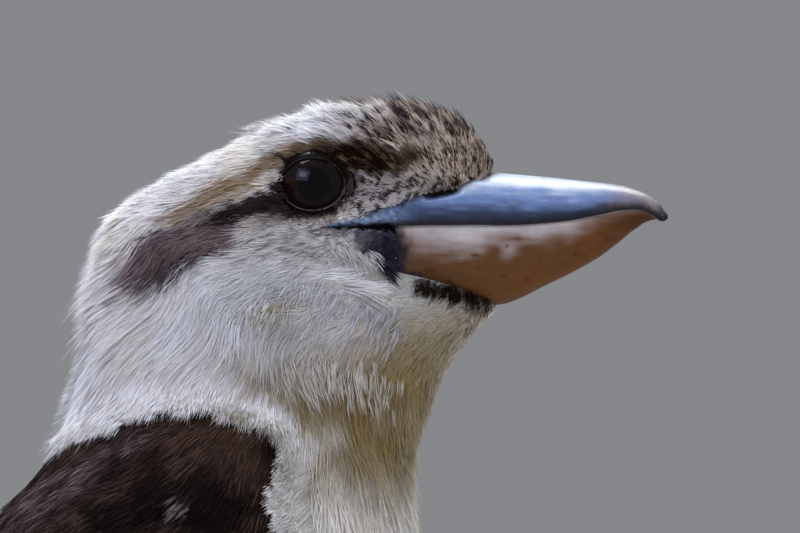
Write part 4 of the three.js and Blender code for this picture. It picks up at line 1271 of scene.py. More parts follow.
rowKeys = ("count", "from", "to", "levels", "tips", "half", "base", "rise", "tilt", "barbs", "power")
wingRows = {
    # shares and levels of roots and tips, first and last feather; sizes in mm
    "primaries": (9, (0.5, 0.53), (1, 0.84), (0.16, 0.55), (0.24, 0.66),
                  6.2, (0.9, 3.4), 0.2, 0.5, 120, 6),
    "secondaries": (13, (0.42, 0.38), (0.79, 0.73), (0.08, 0.95), (0.04, 0.96),
                    7.2, (2.6, 4.4), 1.2, 0.9, 96, 5),
    "greaterCoverts": (11, (0.3, 0.28), (0.53, 0.5), (0.06, 0.93), (0.05, 0.94),
                       6.2, (3.4, 4), 2, 0.9, 60, 4),
    "medianCoverts": (11, (0.19, 0.19), (0.38, 0.37), (0.05, 0.93), (0.05, 0.94),
                      6, (3.4, 3.8), 2, 0.8, 46, 3),
    "lesserCovertsLow": (12, (0.11, 0.12), (0.265, 0.27), (0.04, 0.94), (0.04, 0.94),
                         5.6, (3.2, 3.6), 1.8, 0.7, 38, 3),
    "lesserCovertsMiddle": (12, (0.045, 0.055), (0.18, 0.19), (0.05, 0.93), (0.04, 0.94),
                            5.4, (2.8, 3.2), 1.8, 0.7, 34, 3),
    "lesserCovertsHigh": (12, (-0.005, -0.005), (0.11, 0.12), (0.06, 0.92), (0.04, 0.93),
                          5.2, (1.2, 1.6), 2.6, 0.6, 34, 3),
}


def makeWing(sideName):
    # the dark inner layer that closes the wing behind its feathers: the mantle's brown, darkened as painted
    # shade
    grid = lattice(np.linspace(0.01, 0.62, 40), np.linspace(0.04, 0.97, 24))
    points = onWing(wingPoint(grid[..., 0], grid[..., 1]), 1.2)
    colours = np.broadcast_to(tint["mantle"] * 0.6, points.shape)
    parts = [gridShape(points, colours, grid * 0.1, False)]
    for atlasRow, (name, settings) in enumerate(wingRows.items()):
        spec = dict(zip(rowKeys, settings))
        count, samples = spec["count"], 12
        share = np.arange(count) / (count - 1)
        t = np.linspace(0, 1, samples)
        wobble = rng.normal(0, 0.004, (count, 2))
        start, end, level, tipLevel, base = (
            np.interp(share, [0, 1], spec[key])[:, None] for key in ("from", "to", "levels", "tips", "base")
        )
        start = start + wobble[:, :1]
        end = end + 2 * wobble[:, 1:]
        tipLevel = tipLevel + rng.normal(0, 0.008, (count, 1))
        spots = wingPoint(start + (end - start) * t, level + (tipLevel - level) * t)
        heading = unit(np.gradient(spots, axis=1))
        crosswise = np.stack([-heading[..., 1], heading[..., 0]], -1)
        sunk = (1 - t) ** 4
        height = (base + spec["rise"] * t**2) * (1 - sunk) + 1.4 * sunk
        centre = onWing(spots, height)
        low, high = onWing(spots - crosswise * 2, height), onWing(spots + crosswise * 2, height)
        side = unit(high - low)
        tangent = unit(np.gradient(centre, axis=1))
        normal = unit(np.cross(side, tangent))
        normal = normal * np.sign(normal[..., 1:2])
        side = unit(side + normal * spec["tilt"] / spec["half"])
        normal = unit(normal - side * (normal * side).sum(-1, keepdims=True))
        length = np.linalg.norm(np.diff(centre, axis=1), axis=-1).sum(1)
        shade = rng.normal(1, 0.07, (count, 1, 1, 1, 1, 1))
        paint = wingPaint(name, shade, 1 - smoothStep(0.62, 0.8, share).reshape(-1, 1, 1, 1, 1))
        look = {
            "barbs": spec["barbs"],
            "half": np.full(count, spec["half"]) * rng.uniform(0.95, 1.05, count),
            "length": length,
            "skew": 0.15 if name == "primaries" else 0,
            "slant": 1.0,
            "outline": roundTip(spec["power"], 0.4),
            "fray": 0.2,
            "camber": 0.6,
            "ruffle": 0.05,
            "relief": 0.035,
            "paint": paint,
            "shaft": 0.5,
            "shaftColour": tint["dark"] * 0.7,
            "bakeU": np.full(count, 0.2 + 0.8 * (atlasRow + 0.5) / len(wingRows)),
            "bakeV": (np.arange(count) + 0.5) / count,
            "patch": (0.68 / len(wingRows), 0.8 / count),
        }
        parts.append(vanes(centre, side, normal, look))
    addPiece("wing_feathers", joinShapes(parts), vaneMaterial, ["wing"], sideName)


# Pale blue at the tips of two rows of coverts: how much, from where along the feather and across it
wingSpots = {
    "medianCoverts": (0.8, (0.72, 0.9), (0.1, 0.5)), "lesserCovertsLow": (0.45, (0.8, 0.95), (0.2, 0.6))
}


def wingPaint(name, shade, below):
    def paint(at, out, across):
        base = tint["mantle"] * shade
        edge = smoothStep(0.6, 1.0, across) * 0.3 + 0.45 * smoothStep(0.93, 1.02, at)
        colour = mixed(base, tint["mantleEdge"], edge)
        if name in wingSpots:
            amount, tipward, outward = wingSpots[name]
            spot = amount * smoothStep(*tipward, at) * smoothStep(*outward, across)
            colour = mixed(colour, linear("#a9c4cd"), below * spot)
        return colour

    return paint


shoulder = {
    # the edge of the brown as the photo shows it, closed below the photo's edge
    "outline": [(-80, 143), (-76.8, 155.6), (-71.6, 159.9), (-63, 165.2), (-52.4, 168.7), (-45.3, 171.2),
                (-41.5, 173.8),
                (-40, 170.2), (-37, 173), (-32.8, 175.4), (-26, 174.9), (-21.3, 172.8), (-17, 171.9),
                (-12, 168),
                (-13.4, 163.3), (-15.2, 157), (-12.9, 150.8), (-10, 143), (-9, 128), (-22, 112), (-92, 96)],
    "density": 0.8,
    "length": 11,
    "whiteDensity": 1.3,
    "whiteReach": 13,  # how far outside the brown the white tufts that fall over it have their roots
    "cover": 5.2,  # height of the brown over the wing
    # colours on the brown, strokes as x, z, radius: the strands are painted highlights, the soft strokes
    # paler brown fringes with painted highlight, the gaps painted shadow
    "highlightStrands": [(-80, 147, 4.5), (-68, 156, 4.2), (-56, 162, 3.4), (-46, 167.5, 2)],
    "gap": [(-53.5, 158.4, 1.1), (-47, 163, 1.5), (-41, 168, 1.2)],
    "deep": [(-52, 148, 4.5), (-38, 154, 5), (-24, 150, 6)],
    "soft": [(-36, 168.5, 3), (-27, 166.5, 4.5), (-18, 166, 3.6), (-17, 159, 3)],
    "paleTip": [(-35.4, 151.6, 0.8), (-33.6, 150.4, 1.1)],
    "collarShade": [(-27, 178.5, 1.6), (-18, 177, 2.2), (-12, 173, 2)],  # painted shade on the white feathers above
}


# How far a point seen from the side lies inside an outline
def depthInside(x, z, outline):
    distance = np.abs(strokeDistance(x, z, [(px, pz, 0) for px, pz in outline + outline[:1]]))
    return np.where(insideOutline(x, z, outline), distance, -distance)


def shoulderColour(spot):
    count = len(spot)
    x, z = spot[:, 0] + 1.2 * noiseAt(spot, 5, 74), spot[:, 2] + 1.2 * noiseAt(spot, 4, 75)
    colour = np.where((rng.random(count) < 0.3)[:, None], tint["mantleEdge"], linear("#261d1a"))
    # painted highlights on the strands and soft strokes, painted shadow in the gaps
    for name, text, amount, soft in (
        ("deep", "#110e0f", 0.9, 2.2),
        ("highlightStrands", "#57474a", 0.85, 2.2),
        ("soft", "#49382f", 0.75, 2.2),
        ("gap", "#0b090a", 0.95, 2.2),
        ("paleTip", "#a49c96", 0.9, 0.8),
    ):
        mask = strokeMask(x, z, shoulder[name], soft)
        colour = mixed(colour, linear(text), amount * mask * (0.75 + 0.25 * rng.random(count)))
    # single dark and pale feathers along the lit strands at the edge of the back: painted shadow and painted
    # highlight
    highlightStrand, chance = strokeMask(x, z, shoulder["highlightStrands"], 2.2), rng.random(count)
    colour = mixed(colour, linear("#130f10"), 0.85 * highlightStrand * (chance < 0.34))
    return mixed(colour, linear("#8a7a76"), 0.75 * highlightStrand * (chance > 0.86))


# Soft brown feathers over the front of the wing, and the white ones of the neck that fall over its edge
def growShoulder(sideName):
    z, x = np.meshgrid(np.arange(190, 96, -1.0), np.arange(-98, 6, 1.0), indexing="ij")
    onto = smoothStep(-8, 1.5, depthInside(x, z, wingOutline))
    onBody = smoothStep(9, 14, sideSection(x, z)[0])
    y = (sideSection(x, z)[0] - 1) * (1 - onto) + (wingDepth(x, z) + shoulder["cover"]) * onto
    surface = surfaceFrom(np.stack([x, y, z], -1), np.zeros(x.shape + (1,)), False)
    inside = depthInside(x, z, shoulder["outline"])
    brownHere = smoothStep(-4.5, -2, inside) * smoothStep(-88, -72, x) * smoothStep(118, 134, z) * onBody
    reach = shoulder["whiteReach"]
    whiteHere = (
        onBody * (inside < -5.2) * (inside > -reach) * smoothStep(-74, -68, x) * smoothStep(112, 146, z)
        * ((z > 162) | (x > -15))
    )
    for kind, density in (
        ("shoulder", shoulder["density"] * brownHere), ("collar", shoulder["whiteDensity"] * whiteHere)
    ):
        row, column = scatterRoots(surface, density)
        column = np.clip(column, 0, x.shape[1] - 1.001)
        count = len(row)
        spot = onSurface(surface, row, column)
        edge = depthInside(spot[:, 0], spot[:, 2], shoulder["outline"])
        if kind == "shoulder":
            back = smoothStep(-12, -42, spot[:, 0])
            lie = 0.35 + 0.65 * back + 0.14 * noiseAt(spot, 9, 71) + rng.normal(0, 0.07, count)
            length, width = shoulder["length"] * rng.uniform(0.75, 1.2, count), 0.28
            colour = shoulderColour(
                spot + length[:, None] * 0.8 * np.stack([-np.sin(lie), 0 * lie, -np.cos(lie)], -1)
            )
            tipHeight = rng.uniform(-0.2, 1, count) - 0.8 * (1 - smoothStep(0, 3, edge))
        else:
            normal, ahead = facing(surface, row, column)
            front = smoothStep(-20, -12, spot[:, 0]) * smoothStep(174, 166, spot[:, 2])
            way = mixed(lieWay(spot), np.array([-0.92, 0, -0.4]), front)
            lie = lieAngle(way, normal, ahead) + 0.1 * noiseAt(spot, 6, 72) + rng.normal(0, 0.08, count)
            length = np.clip(-edge + rng.uniform(-2.5, 0.8, count) + 1.8 * noiseAt(spot, 3, 76), 4, 13)
            width = 0.26
            # painted shade on the white collar tufts under these strokes, olive and darker
            collarShade = 0.95 * strokeMask(spot[:, 0], spot[:, 2], shoulder["collarShade"], 2.5)
            colour = mixed(tint["white"], tint["shade"], np.maximum(rng.uniform(0, 0.35, count), collarShade))
            colour = colour * rng.normal(1, 0.06, (count, 1)) * (1 - 0.6 * collarShade * rng.random(count))[:, None]
            tipHeight = -0.6 + rng.uniform(0.8, 1.9, count) * (1 - smoothStep(7, 12, -edge))
        look = {
            "blades": 11, "length": length, "spread": 0.14, "stray": 0.05, "gather": 0.2,
            "width": np.full(count, width),
            "rootHalf": 1.4, "rootHeight": np.full(count, -1.6), "tipHeight": tipHeight,
            "bow": 0.7, "lie": lie, "root": colour * 0.72, "tip": colour * rng.normal(1, 0.1, (count, 1)),
        }
        *shape, places = growTufts(surface, row, column, look)
        places = places * 0.1 + 0.85  # this sheet's own corner of the map
        addPiece(f"coat_{kind}", (*shape, places), softMaterial, sideName=sideName)
        print(kind, sideName, count, "tufts")


for sideName in ("left", "right"):
    makeWing(sideName)
    growShoulder(sideName)
print("wings made")


# Tail: its root, its slope in radians, and sizes in mm; each feather lies a layer below its inner neighbour
tail = {
    "x": -137, "z": 47.5, "slope": 0.32, "length": 122, "perSide": 6, "half": 10.5, "spacing": 4.6,
    "layer": 0.95, "graduation": 1.7, "bars": 8,
}


def tailPoint(distance, across, height):
    c, s = math.cos(tail["slope"]), math.sin(tail["slope"])
    return np.stack(
        [tail["x"] - distance * c - height * s, across, tail["z"] - distance * s + height * c], -1
    )


def makeTail():
    parts = []
    for i in range(tail["perSide"]):
        for side in (1, -1):
            layer = 2 * i + (side < 0) if i < 2 else i + 2
            t = np.linspace(0, 1, 16)
            length = tail["length"] - tail["graduation"] * i * (1 + 0.25 * i)
            across = side * tail["spacing"] * (i + 0.5) * (0.12 + 0.88 * t)
            height = 2.4 - layer * tail["layer"] - 0.0035 * across**2
            along = 2 + (length - 2) * t
            centre = tailPoint(along, across, height)[None]
            tangent = unit(np.gradient(centre, axis=1))
            sideways = unit(tailPoint(along, across + 1, height - 0.007 * across)[None] - centre)
            normal = unit(np.cross(tangent, sideways))
            normal = normal * np.sign(normal[..., 2:3])
            shade = rng.normal(1, 0.05)

            def paint(at, out, crossed, i=i, shade=shade):
                wave = np.sin(at * tau * tail["bars"] + 0.5 * np.sin(out * 0.6 + i))
                bars = smoothStep(0.05, 0.35, wave) * (1 - smoothStep(0.86, 0.9, at))
                ground = mixed(tint["rufous"] * shade, tint["brown"], 0 if i else 0.25)
                colour = mixed(ground, tint["dark"], bars)
                white = smoothStep(0.905, 0.93, at) if i else smoothStep(0.95, 0.97, at)
                outer = smoothStep(0.5, 0.8, crossed) * (out * side > 0) * (i >= 3) * (1 - bars)
                return mixed(colour, tint["white"], np.clip(white + 0.8 * outer, 0, 1))

            look = {
                "barbs": 120,
                "half": np.array([tail["half"]]),
                "length": np.array([length]),
                "skew": 0.18 * (-side),
                "slant": 0.9,
                "outline": lambda t: np.minimum(1, 0.28 + 1.5 * t) * np.sqrt(np.maximum(1 - t**7, 0.04)),
                "fray": 0.35,
                "camber": 0.5,
                "ruffle": 0.04,
                "relief": 0.035,
                "paint": paint,
                "shaft": 0.9,
                "shaftColour": tint["dark"],
                "bakeU": np.array([0.5]),
                "bakeV": np.array([(2 * i + (side < 0) + 0.5) / tail["perSide"] / 2]),
                "patch": (0.92, 0.45 / tail["perSide"]),
            }
            parts.append(vanes(centre, sideways, normal, look))
    addPiece("tail_feathers", joinShapes(parts), vaneMaterial, ["tail"])


makeTail()
print("tail made")


# Bill
def billTint(points, upper):
    x, z = points[..., 0], points[..., 2]
    mottle, fine = noiseAt(points, 4, 21), noiseAt(points, 1.1, 22)
    long = noiseAt(points * [0.25, 1, 1.6], 1.5, 23)
    mouth = readLine(bill["mouth"], x)
    if upper:
        blue, pale, deep = linear("#6d86b4"), linear("#bac6d0"), linear("#12141c")
        top = readLine(bill["culmen"], x)
        rise = np.clip((z - mouth) / np.maximum(top - mouth, 1), 0, 1)
        # the ridge is painted pale, a painted reflection of the sky along the top, and the horn is darker
        # towards the cutting edge
        colour = mixed(blue, pale, smoothStep(0.5, 0.92, rise + 0.1 * mottle + 0.12 * long))
        colour = mixed(
            colour, linear("#1d2740"),
            smoothStep(0.52, 0.16, rise + 0.12 * long) * (0.3 + 0.62 * smoothStep(12, 30, x)),
        )
        colour = mixed(colour, linear("#8c7a72"), 0.75 * smoothStep(66, 82, x + 3 * mottle))
        colour = mixed(
            colour, deep,
            0.97 * (1 - smoothStep(0.4, 1 + 1.8 * smoothStep(8, 30, x), z - mouth + 0.3 * fine)),
        )
        colour = mixed(colour, deep, 0.85 * smoothStep(83.5, 87.5, x + fine))
        # wrinkled skin at the root, dark along the feathers
        root = distanceToBill(x, z)
        colour = mixed(
            colour, linear("#7f8fae"), 0.55 * (1 - smoothStep(8, 22, x)) * smoothStep(0.6, 1.4, z - mouth)
        )
        wrinkles = (
            smoothStep(-0.2, 0.6, noiseAt(points * [0.7, 1, 1.4], 0.7, 28)) * (1 - smoothStep(14, 26, x))
        )
        colour = mixed(colour, linear("#b6c2d6"), 0.6 * wrinkles * smoothStep(1, 2, z - mouth))
        colour = mixed(
            colour, linear("#1b1e27"),
            0.85 * (1 - smoothStep(0.2, 1.5, root + 0.5 * fine)) * smoothStep(8, 13, x),
        )
        scuffs = smoothStep(0.35, 0.8, noiseAt(points * [0.35, 1, 2], 0.8, 24))
        return (
            mixed(colour, linear("#b9c2cd"), 0.2 * scuffs * smoothStep(0.2, 0.5, rise))
            * (1 + 0.06 * fine)[..., None]
        )
    gonys = readLine(bill["gonys"], x)
    share = np.clip((mouth - z) / np.maximum(mouth - gonys, 1), 0, 1)
    cream, horn, rust, deep = linear("#cbc6c8"), linear("#684421"), linear("#6e4013"), linear("#3a1e08")
    # pale along the mouth, browner and darker towards the underside: partly a brown wash, partly painted
    # warm shade
    brownWashAndShade = smoothStep(-0.06, 0.48, share + 0.12 * mottle + 0.08 * long + 0.03 * smoothStep(30, 60, x))
    colour = mixed(cream, horn, brownWashAndShade)
    colour = mixed(colour, rust, 0.75 * smoothStep(0.5, 1.0, share + 0.16 * mottle))
    colour = mixed(colour, rust, 0.7 * smoothStep(54, 76, x + 4 * mottle))
    colour = mixed(colour, deep, 0.6 * smoothStep(68, 84, x + 3 * mottle))
    root = distanceToBill(x, z) + 0.7 * fine + 0.6 * mottle
    colour = mixed(colour, linear("#6a4a3b"), 0.8 * (1 - smoothStep(1.5, 5.5, root)) * (x < 27))
    colour = mixed(colour, linear("#2b2630"), 0.95 * (1 - smoothStep(0.8, 2.6, root)) * (x < 27))
    for sx, sz, size in bill["stains"]:
        away = ((x - sx + 0.5 * fine) / size) ** 2 + ((z - sz + 0.5 * mottle) / (0.6 * size)) ** 2
        colour = mixed(colour, linear("#5a2808"), np.clip(0.85 * np.exp(-away) * (1 + 0.8 * fine), 0, 0.9))
    specks = smoothStep(0.62, 0.8, noiseAt(points, 0.8, 25)) * smoothStep(0.3, 0.7, share)
    return mixed(colour, deep, 0.5 * specks) * (1 + 0.05 * fine)[..., None]


# The part of the horn under the feathers is drawn in, so that it stays below the skin.
def tuckUnder(ring):
    x, z = ring[..., 0], ring[..., 2]
    hidden = ~insideOutline(x, z, billOutline)
    away = distanceToBill(x, z)
    room = sideSection(x, z)[0] - 1.6 - 0.35 * np.minimum(away, 4)
    limit = np.where(x < 46, np.maximum(room, 1), 99)
    width = np.abs(ring[..., 1])
    kept = np.where(hidden, np.minimum(width * (1 - 0.05 * np.minimum(away, 4)), limit), width)
    ring[..., 1] = np.sign(ring[..., 1]) * kept
    return ring


def makeBill():
    lengthSteps, around = 260, 84
    s = np.linspace(0, 1, lengthSteps)
    x = -2 + (billReach + 2) * (1 - (1 - s) ** 1.35)
    top, low, mouth, half = (readLine(bill[k], x) for k in ("culmen", "gonys", "mouth", "half"))
    angle = np.linspace(0, math.pi, around)
    roofLine = np.linspace(-1, 1, 13)[1:-1]
    columns = around + len(roofLine)
    bake = lattice(s, np.arange(columns) / columns)

    def shell(width, height, innerHalf, innerHeight):
        outer = np.stack([x[:, None] + 0 * width, width, height], -1)
        level = 0 * roofLine
        roof = [x[:, None] + level, innerHalf[:, None] * roofLine, innerHeight[:, None] + level]
        return outer, np.stack(roof, -1)

    # upper bill: over the ridge from edge to edge, with the nostrils as slits
    width = half[:, None] * np.cos(angle) * np.abs(np.cos(angle)) ** -0.08
    height = mouth[:, None] + (top - mouth)[:, None] * np.sin(angle) ** 0.95
    outer, inner = shell(width, height, half * 0.94, mouth + 0.5)
    n = bill["nostril"]
    ax, az = outer[..., 0] - n["x"], outer[..., 2] - n["z"]
    cosine, sine = math.cos(n["slope"]), math.sin(n["slope"])
    lx, lz = ax * cosine + az * sine, az * cosine - ax * sine
    slit = np.exp(-((lx / n["long"]) ** 4) - (lz / np.where(lz > 0, 1.7, 1) / n["high"]) ** 2)
    outer[..., 1] -= np.sign(outer[..., 1]) * n["deep"] * slit
    rim = np.exp(-((lx / (n["long"] + 0.6)) ** 4) - ((lz + 1.6) / 0.6) ** 2)
    outer[..., 1] += np.sign(outer[..., 1]) * 0.25 * rim
    # fine lengthwise unevenness of worn horn
    outer[..., 2] += 0.12 * noiseAt(outer * [0.2, 1, 1], 2.5, 26)
    ring = np.concatenate([tuckUnder(outer), inner], 1)
    colours = billTint(ring, True)
    # the nostril slits are painted near-black, as the shade inside the openings
    colours[:, :around] = mixed(colours[:, :around], linear("#07080a"), np.clip(slit * 2.2 - 0.3, 0, 1))
    addPiece("upper_bill_horn", gridShape(ring, colours, bake), upperHorn, ["upper_bill"])
    # lower bill, tucked just inside the upper edge
    width = half[:, None] * 0.965 * np.cos(angle) * np.abs(np.cos(angle)) ** -0.2
    height = mouth[:, None] - 0.15 - (mouth - low)[:, None] * np.sin(angle) ** 0.9
    outer, inner = shell(width, height, half * 0.92, mouth - 0.2)
    outer[..., 2] += 0.1 * noiseAt(outer * [0.2, 1, 1], 2.5, 27)
    ring = np.concatenate([tuckUnder(outer), inner], 1)
    kept = np.searchsorted(x, 86.5)
    points, faces = ring[:kept], gridFaces(kept, columns)[:, ::-1]
    shape = (points, [faces], billTint(points, False), bake[:kept])
    addPiece("lower_bill_horn", shape, lowerHorn, ["lower_bill"])


makeBill()
print("bill made")


# Eyes and lids are laid on the OFBake map as discs and rings.
def discPlace(radius, turn):
    return np.stack([0.5 + radius * np.cos(turn), 0.5 + radius * np.sin(turn)], -1)


def makeEye(sideName):
    grid = lattice(np.linspace(0.001, math.pi, 64), np.linspace(0, tau, 96, endpoint=False))
    polar, turn = grid[..., 0], grid[..., 1]
    bulge = 0.35 * np.exp(-((polar / 0.6) ** 2))
    radius = eye["radius"] + bulge
    across, up = np.sin(polar) * np.cos(turn) * radius, np.sin(polar) * np.sin(turn) * radius
    points = np.stack([eye["x"] + across, eye["y"] + np.cos(polar) * radius, eye["z"] + up], -1)
    reach = np.sin(polar) * eye["radius"]
    rays = noiseAt(np.stack([np.cos(turn) * 9, np.sin(turn) * 9, reach * 0.4], -1), 1, 31)
    iris = mixed(linear("#0c0706"), linear("#20110d"), np.clip(0.4 + 0.5 * rays, 0, 1))
    iris = mixed(iris, linear("#0c0807"), smoothStep(6.2, 7.6, reach))
    pupil = 1 - smoothStep(3.9, 4.2, reach)
    colours = mixed(iris, linear("#020202"), pupil)
    colours = np.where((polar > 1.6)[..., None], linear("#181210"), colours)
    shape = gridShape(points, colours, discPlace(0.48 * (polar / math.pi), turn))
    addPiece("eyeball", shape, eyeMaterial, ["eye"], sideName)


lidForm = {"steps": 22, "round": 144, "ledge": 0.25}


def makeLid(sideName):
    turn = np.linspace(0, tau, lidForm["round"], endpoint=False)
    share = np.linspace(0, 1, lidForm["steps"])
    openX = (lid["wide"] + 0.2 * np.abs(np.cos(turn)) ** 8) * np.cos(turn)
    openZ = lid["high"] * np.sin(turn)
    outward = unit(np.stack([openX, openZ * 1.2], -1))
    distance = -0.25 + (0.25 + lidBand(openX, openZ)[:, None]) * share
    x = lid["x"] - eye["x"] + openX[:, None] + outward[:, :1] * distance
    z = openZ[:, None] + outward[:, 1:] * distance
    radius = np.hypot(x, z)
    ball = eye["y"] + np.sqrt(np.maximum((eye["radius"] + 0.15) ** 2 - radius**2, 0.5))
    outer = sideSection(x + eye["x"], z + eye["z"])[0] - 1.9
    settle = smoothStep(0.03, 0.42, share)
    y = np.maximum(ball * (1 - settle) + outer * settle, ball + 0.3 * smoothStep(0, 0.2, share))
    fold = (
        lidForm["ledge"] * np.exp(-(((share - 0.3) / 0.16) ** 2))
        + 0.15 * np.exp(-(((share - 0.65) / 0.1) ** 2))
    )
    spots = np.stack([x, z, np.zeros_like(x)], -1)
    y = (
        y + fold * (1 + 0.25 * noiseAt(spots, 1.4, 41))
        + 0.12 * noiseAt(spots, 0.8, 42) * np.sin(share * math.pi)
    )
    points = np.stack([eye["x"] + x, y, eye["z"] + z], -1)
    dark, grey = linear("#0b0808"), linear("#756e6a")
    rim = (
        np.exp(-(((share - 0.2) / 0.09) ** 2))
        * (0.16 + 0.74 * smoothStep(0.2, -0.5, np.sin(turn[:, None])))
    )
    arcs = np.exp(-(((share - 0.55) / 0.06) ** 2)) + np.exp(-(((share - 0.78) / 0.05) ** 2))
    rim = np.maximum(rim, 0.3 * arcs * smoothStep(0.6, 1, np.cos(turn[:, None])))
    colours = mixed(dark, grey, np.clip(rim * (0.7 + 0.5 * noiseAt(spots, 1, 43)), 0, 1))
    bake = discPlace(0.2 + 0.28 * share, turn[:, None])
    # the last row of faces closes the ring
    faces = gridFaces(lidForm["round"] + 1, lidForm["steps"], False) % (lidForm["round"] * lidForm["steps"])
    shape = (points, [faces[:, ::-1]], colours, bake)
    addPiece("lids", shape, lidMaterial, ["eyelid"], sideName)


for sideName in ("left", "right"):
    makeEye(sideName)
    makeLid(sideName)
print("eyes made")


# Legs, with points as x, y, z
leg = {"heel": (-60, 18, 27), "hip": (-34, 20, 62), "ankle": (-46, 19.5, 4.6), "toeHeight": 2.3, "claw": 9}
floorGap = 0.02  # toes and claws stay this far above the floor
toes = {
    # turn from straight ahead in degrees, outward, and the radius at both ends
    "inner": {"length": 17, "turn": -24, "root": 2.7, "tip": 2},
    "middle": {"length": 27, "turn": -1, "root": 2.9, "tip": 2.1},
    "outer": {"length": 23, "turn": 15, "root": 2.7, "tip": 2},
    "hind": {"length": 14, "turn": 172, "root": 2.8, "tip": 2.1},
}


# A round form along a path, as its points and the shares of its length.
def tube(path, radii, steps, sides, flatten=1.0, relief=None):
    t = np.linspace(0, 1, steps)
    centre = readCurve(path, t * (len(path) - 1))
    tangent = unit(np.gradient(centre, axis=0))
    sideways = np.array([0, 1.0, 0])
    across = unit(sideways - tangent * (tangent @ sideways)[:, None])
    up = np.cross(tangent, across)
    angle = np.linspace(0, tau, sides, endpoint=False)
    radius = readCurve(radii, t * (len(radii) - 1))[:, None] * np.ones(sides)
    if relief is not None:
        radius = radius + relief(t[:, None], angle)
    points = centre[:, None] + across[:, None] * (radius * np.cos(angle) * flatten)[..., None]
    return points + up[:, None] * (radius * np.sin(angle))[..., None], t


def thighSurface():
    heel, hip = np.array(leg["heel"], float), np.array(leg["hip"], float)
    low = heel + (hip - heel) * 0.05
    points, _ = tube([hip, (hip + low) / 2, low], [17, 15, 10.5, 4], 40, 64, 0.85)
    surface = surfaceFrom(points, np.full(points.shape[:2] + (1,), 3.0))
    outward = np.sign(
        ((surface["points"] - surface["points"].mean(1, keepdims=True)) * surface["normal"]).sum()
    )
    surface["normal"] = surface["normal"] * outward
    return surface


def makeThigh(sideName):
    surface = thighSurface()
    rows, columns = surface["points"].shape[:2]
    skin = surface["points"] - surface["normal"] * np.linspace(3, 1, rows)[:, None, None]
    # the skin is the coat's warm white darkened, as painted shade under the tufts
    base = np.broadcast_to(tint["warmWhite"] * 0.6, skin.shape)
    bake = lattice(np.arange(rows) / rows, np.arange(columns) / columns)
    addPiece("thigh_skin", gridShape(skin, base, bake), softMaterial, ["thigh"], sideName)
    row, column = scatterRoots(surface, np.where(bake[..., 0] > 0.3, 0.62, 0))
    count = len(row)
    spot = onSurface(surface, row, column)
    brown = smoothStep(0.1, 0.6, noiseAt(spot, 6, 51))
    colour = mixed(tint["warmWhite"], tint["tan"], 0.3 * brown) * rng.normal(1, 0.05, (count, 1))
    depth = np.interp(row / rows, [0, 1], [3, 1])
    look = {
        "blades": 9, "length": np.interp(row / rows, [0.3, 1], [11, 5]) * rng.uniform(0.85, 1.1, count),
        "spread": 0.3, "stray": 0.06, "gather": 0.2,
        "width": np.full(count, 0.4), "rootHalf": 0.8, "rootHeight": -depth - 0.2,
        "tipHeight": -0.3 * depth, "bow": 0.8,
        "lie": rng.normal(0, 0.12, count), "root": colour * 0.65, "tip": colour,
    }
    shape = growTufts(surface, row, column, look)
    addPiece("coat_thigh", shape, softMaterial, sideName=sideName)


# Overlapping plates across the front of a leg or the top of a toe
def scutes(number, height):
    def relief(t, angle):
        plate = ((t * number) % 1) ** 0.7 - 0.5
        onTop = smoothStep(-0.2, 0.5, -np.sin(angle))
        return height * (plate * onTop + 0.5 * np.sin(t * number * math.pi) * (1 - onTop))

    return relief


def legTint(points, grooves):
    grain = np.clip(0.5 + 0.6 * noiseAt(points, 1.6, 61), 0, 1)
    return mixed(mixed(linear("#77735f"), linear("#4a4639"), grain), linear("#33302a"), 0.6 * grooves)


def toePath(toe, start):
    angle = math.radians(toe["turn"])
    way = np.array([math.cos(angle), math.sin(angle), 0])
    share = np.array([0, 0.35, 0.7, 1])
    path = start + way * (toe["length"] * share)[:, None]
    path[:, 2] = leg["toeHeight"] + 0.6 - 0.8 * share + 0.35 * np.sin(share * math.pi * 2.4)
    return path, way


# Dark grooves between the plates of a tube
def groovesOf(points, t, number, wide):
    return (1 - smoothStep(0, wide, (t * number) % 1))[:, None] * np.ones(points.shape[1])


def onFloor(points):
    points[..., 2] = np.maximum(points[..., 2], floorGap)
    return points


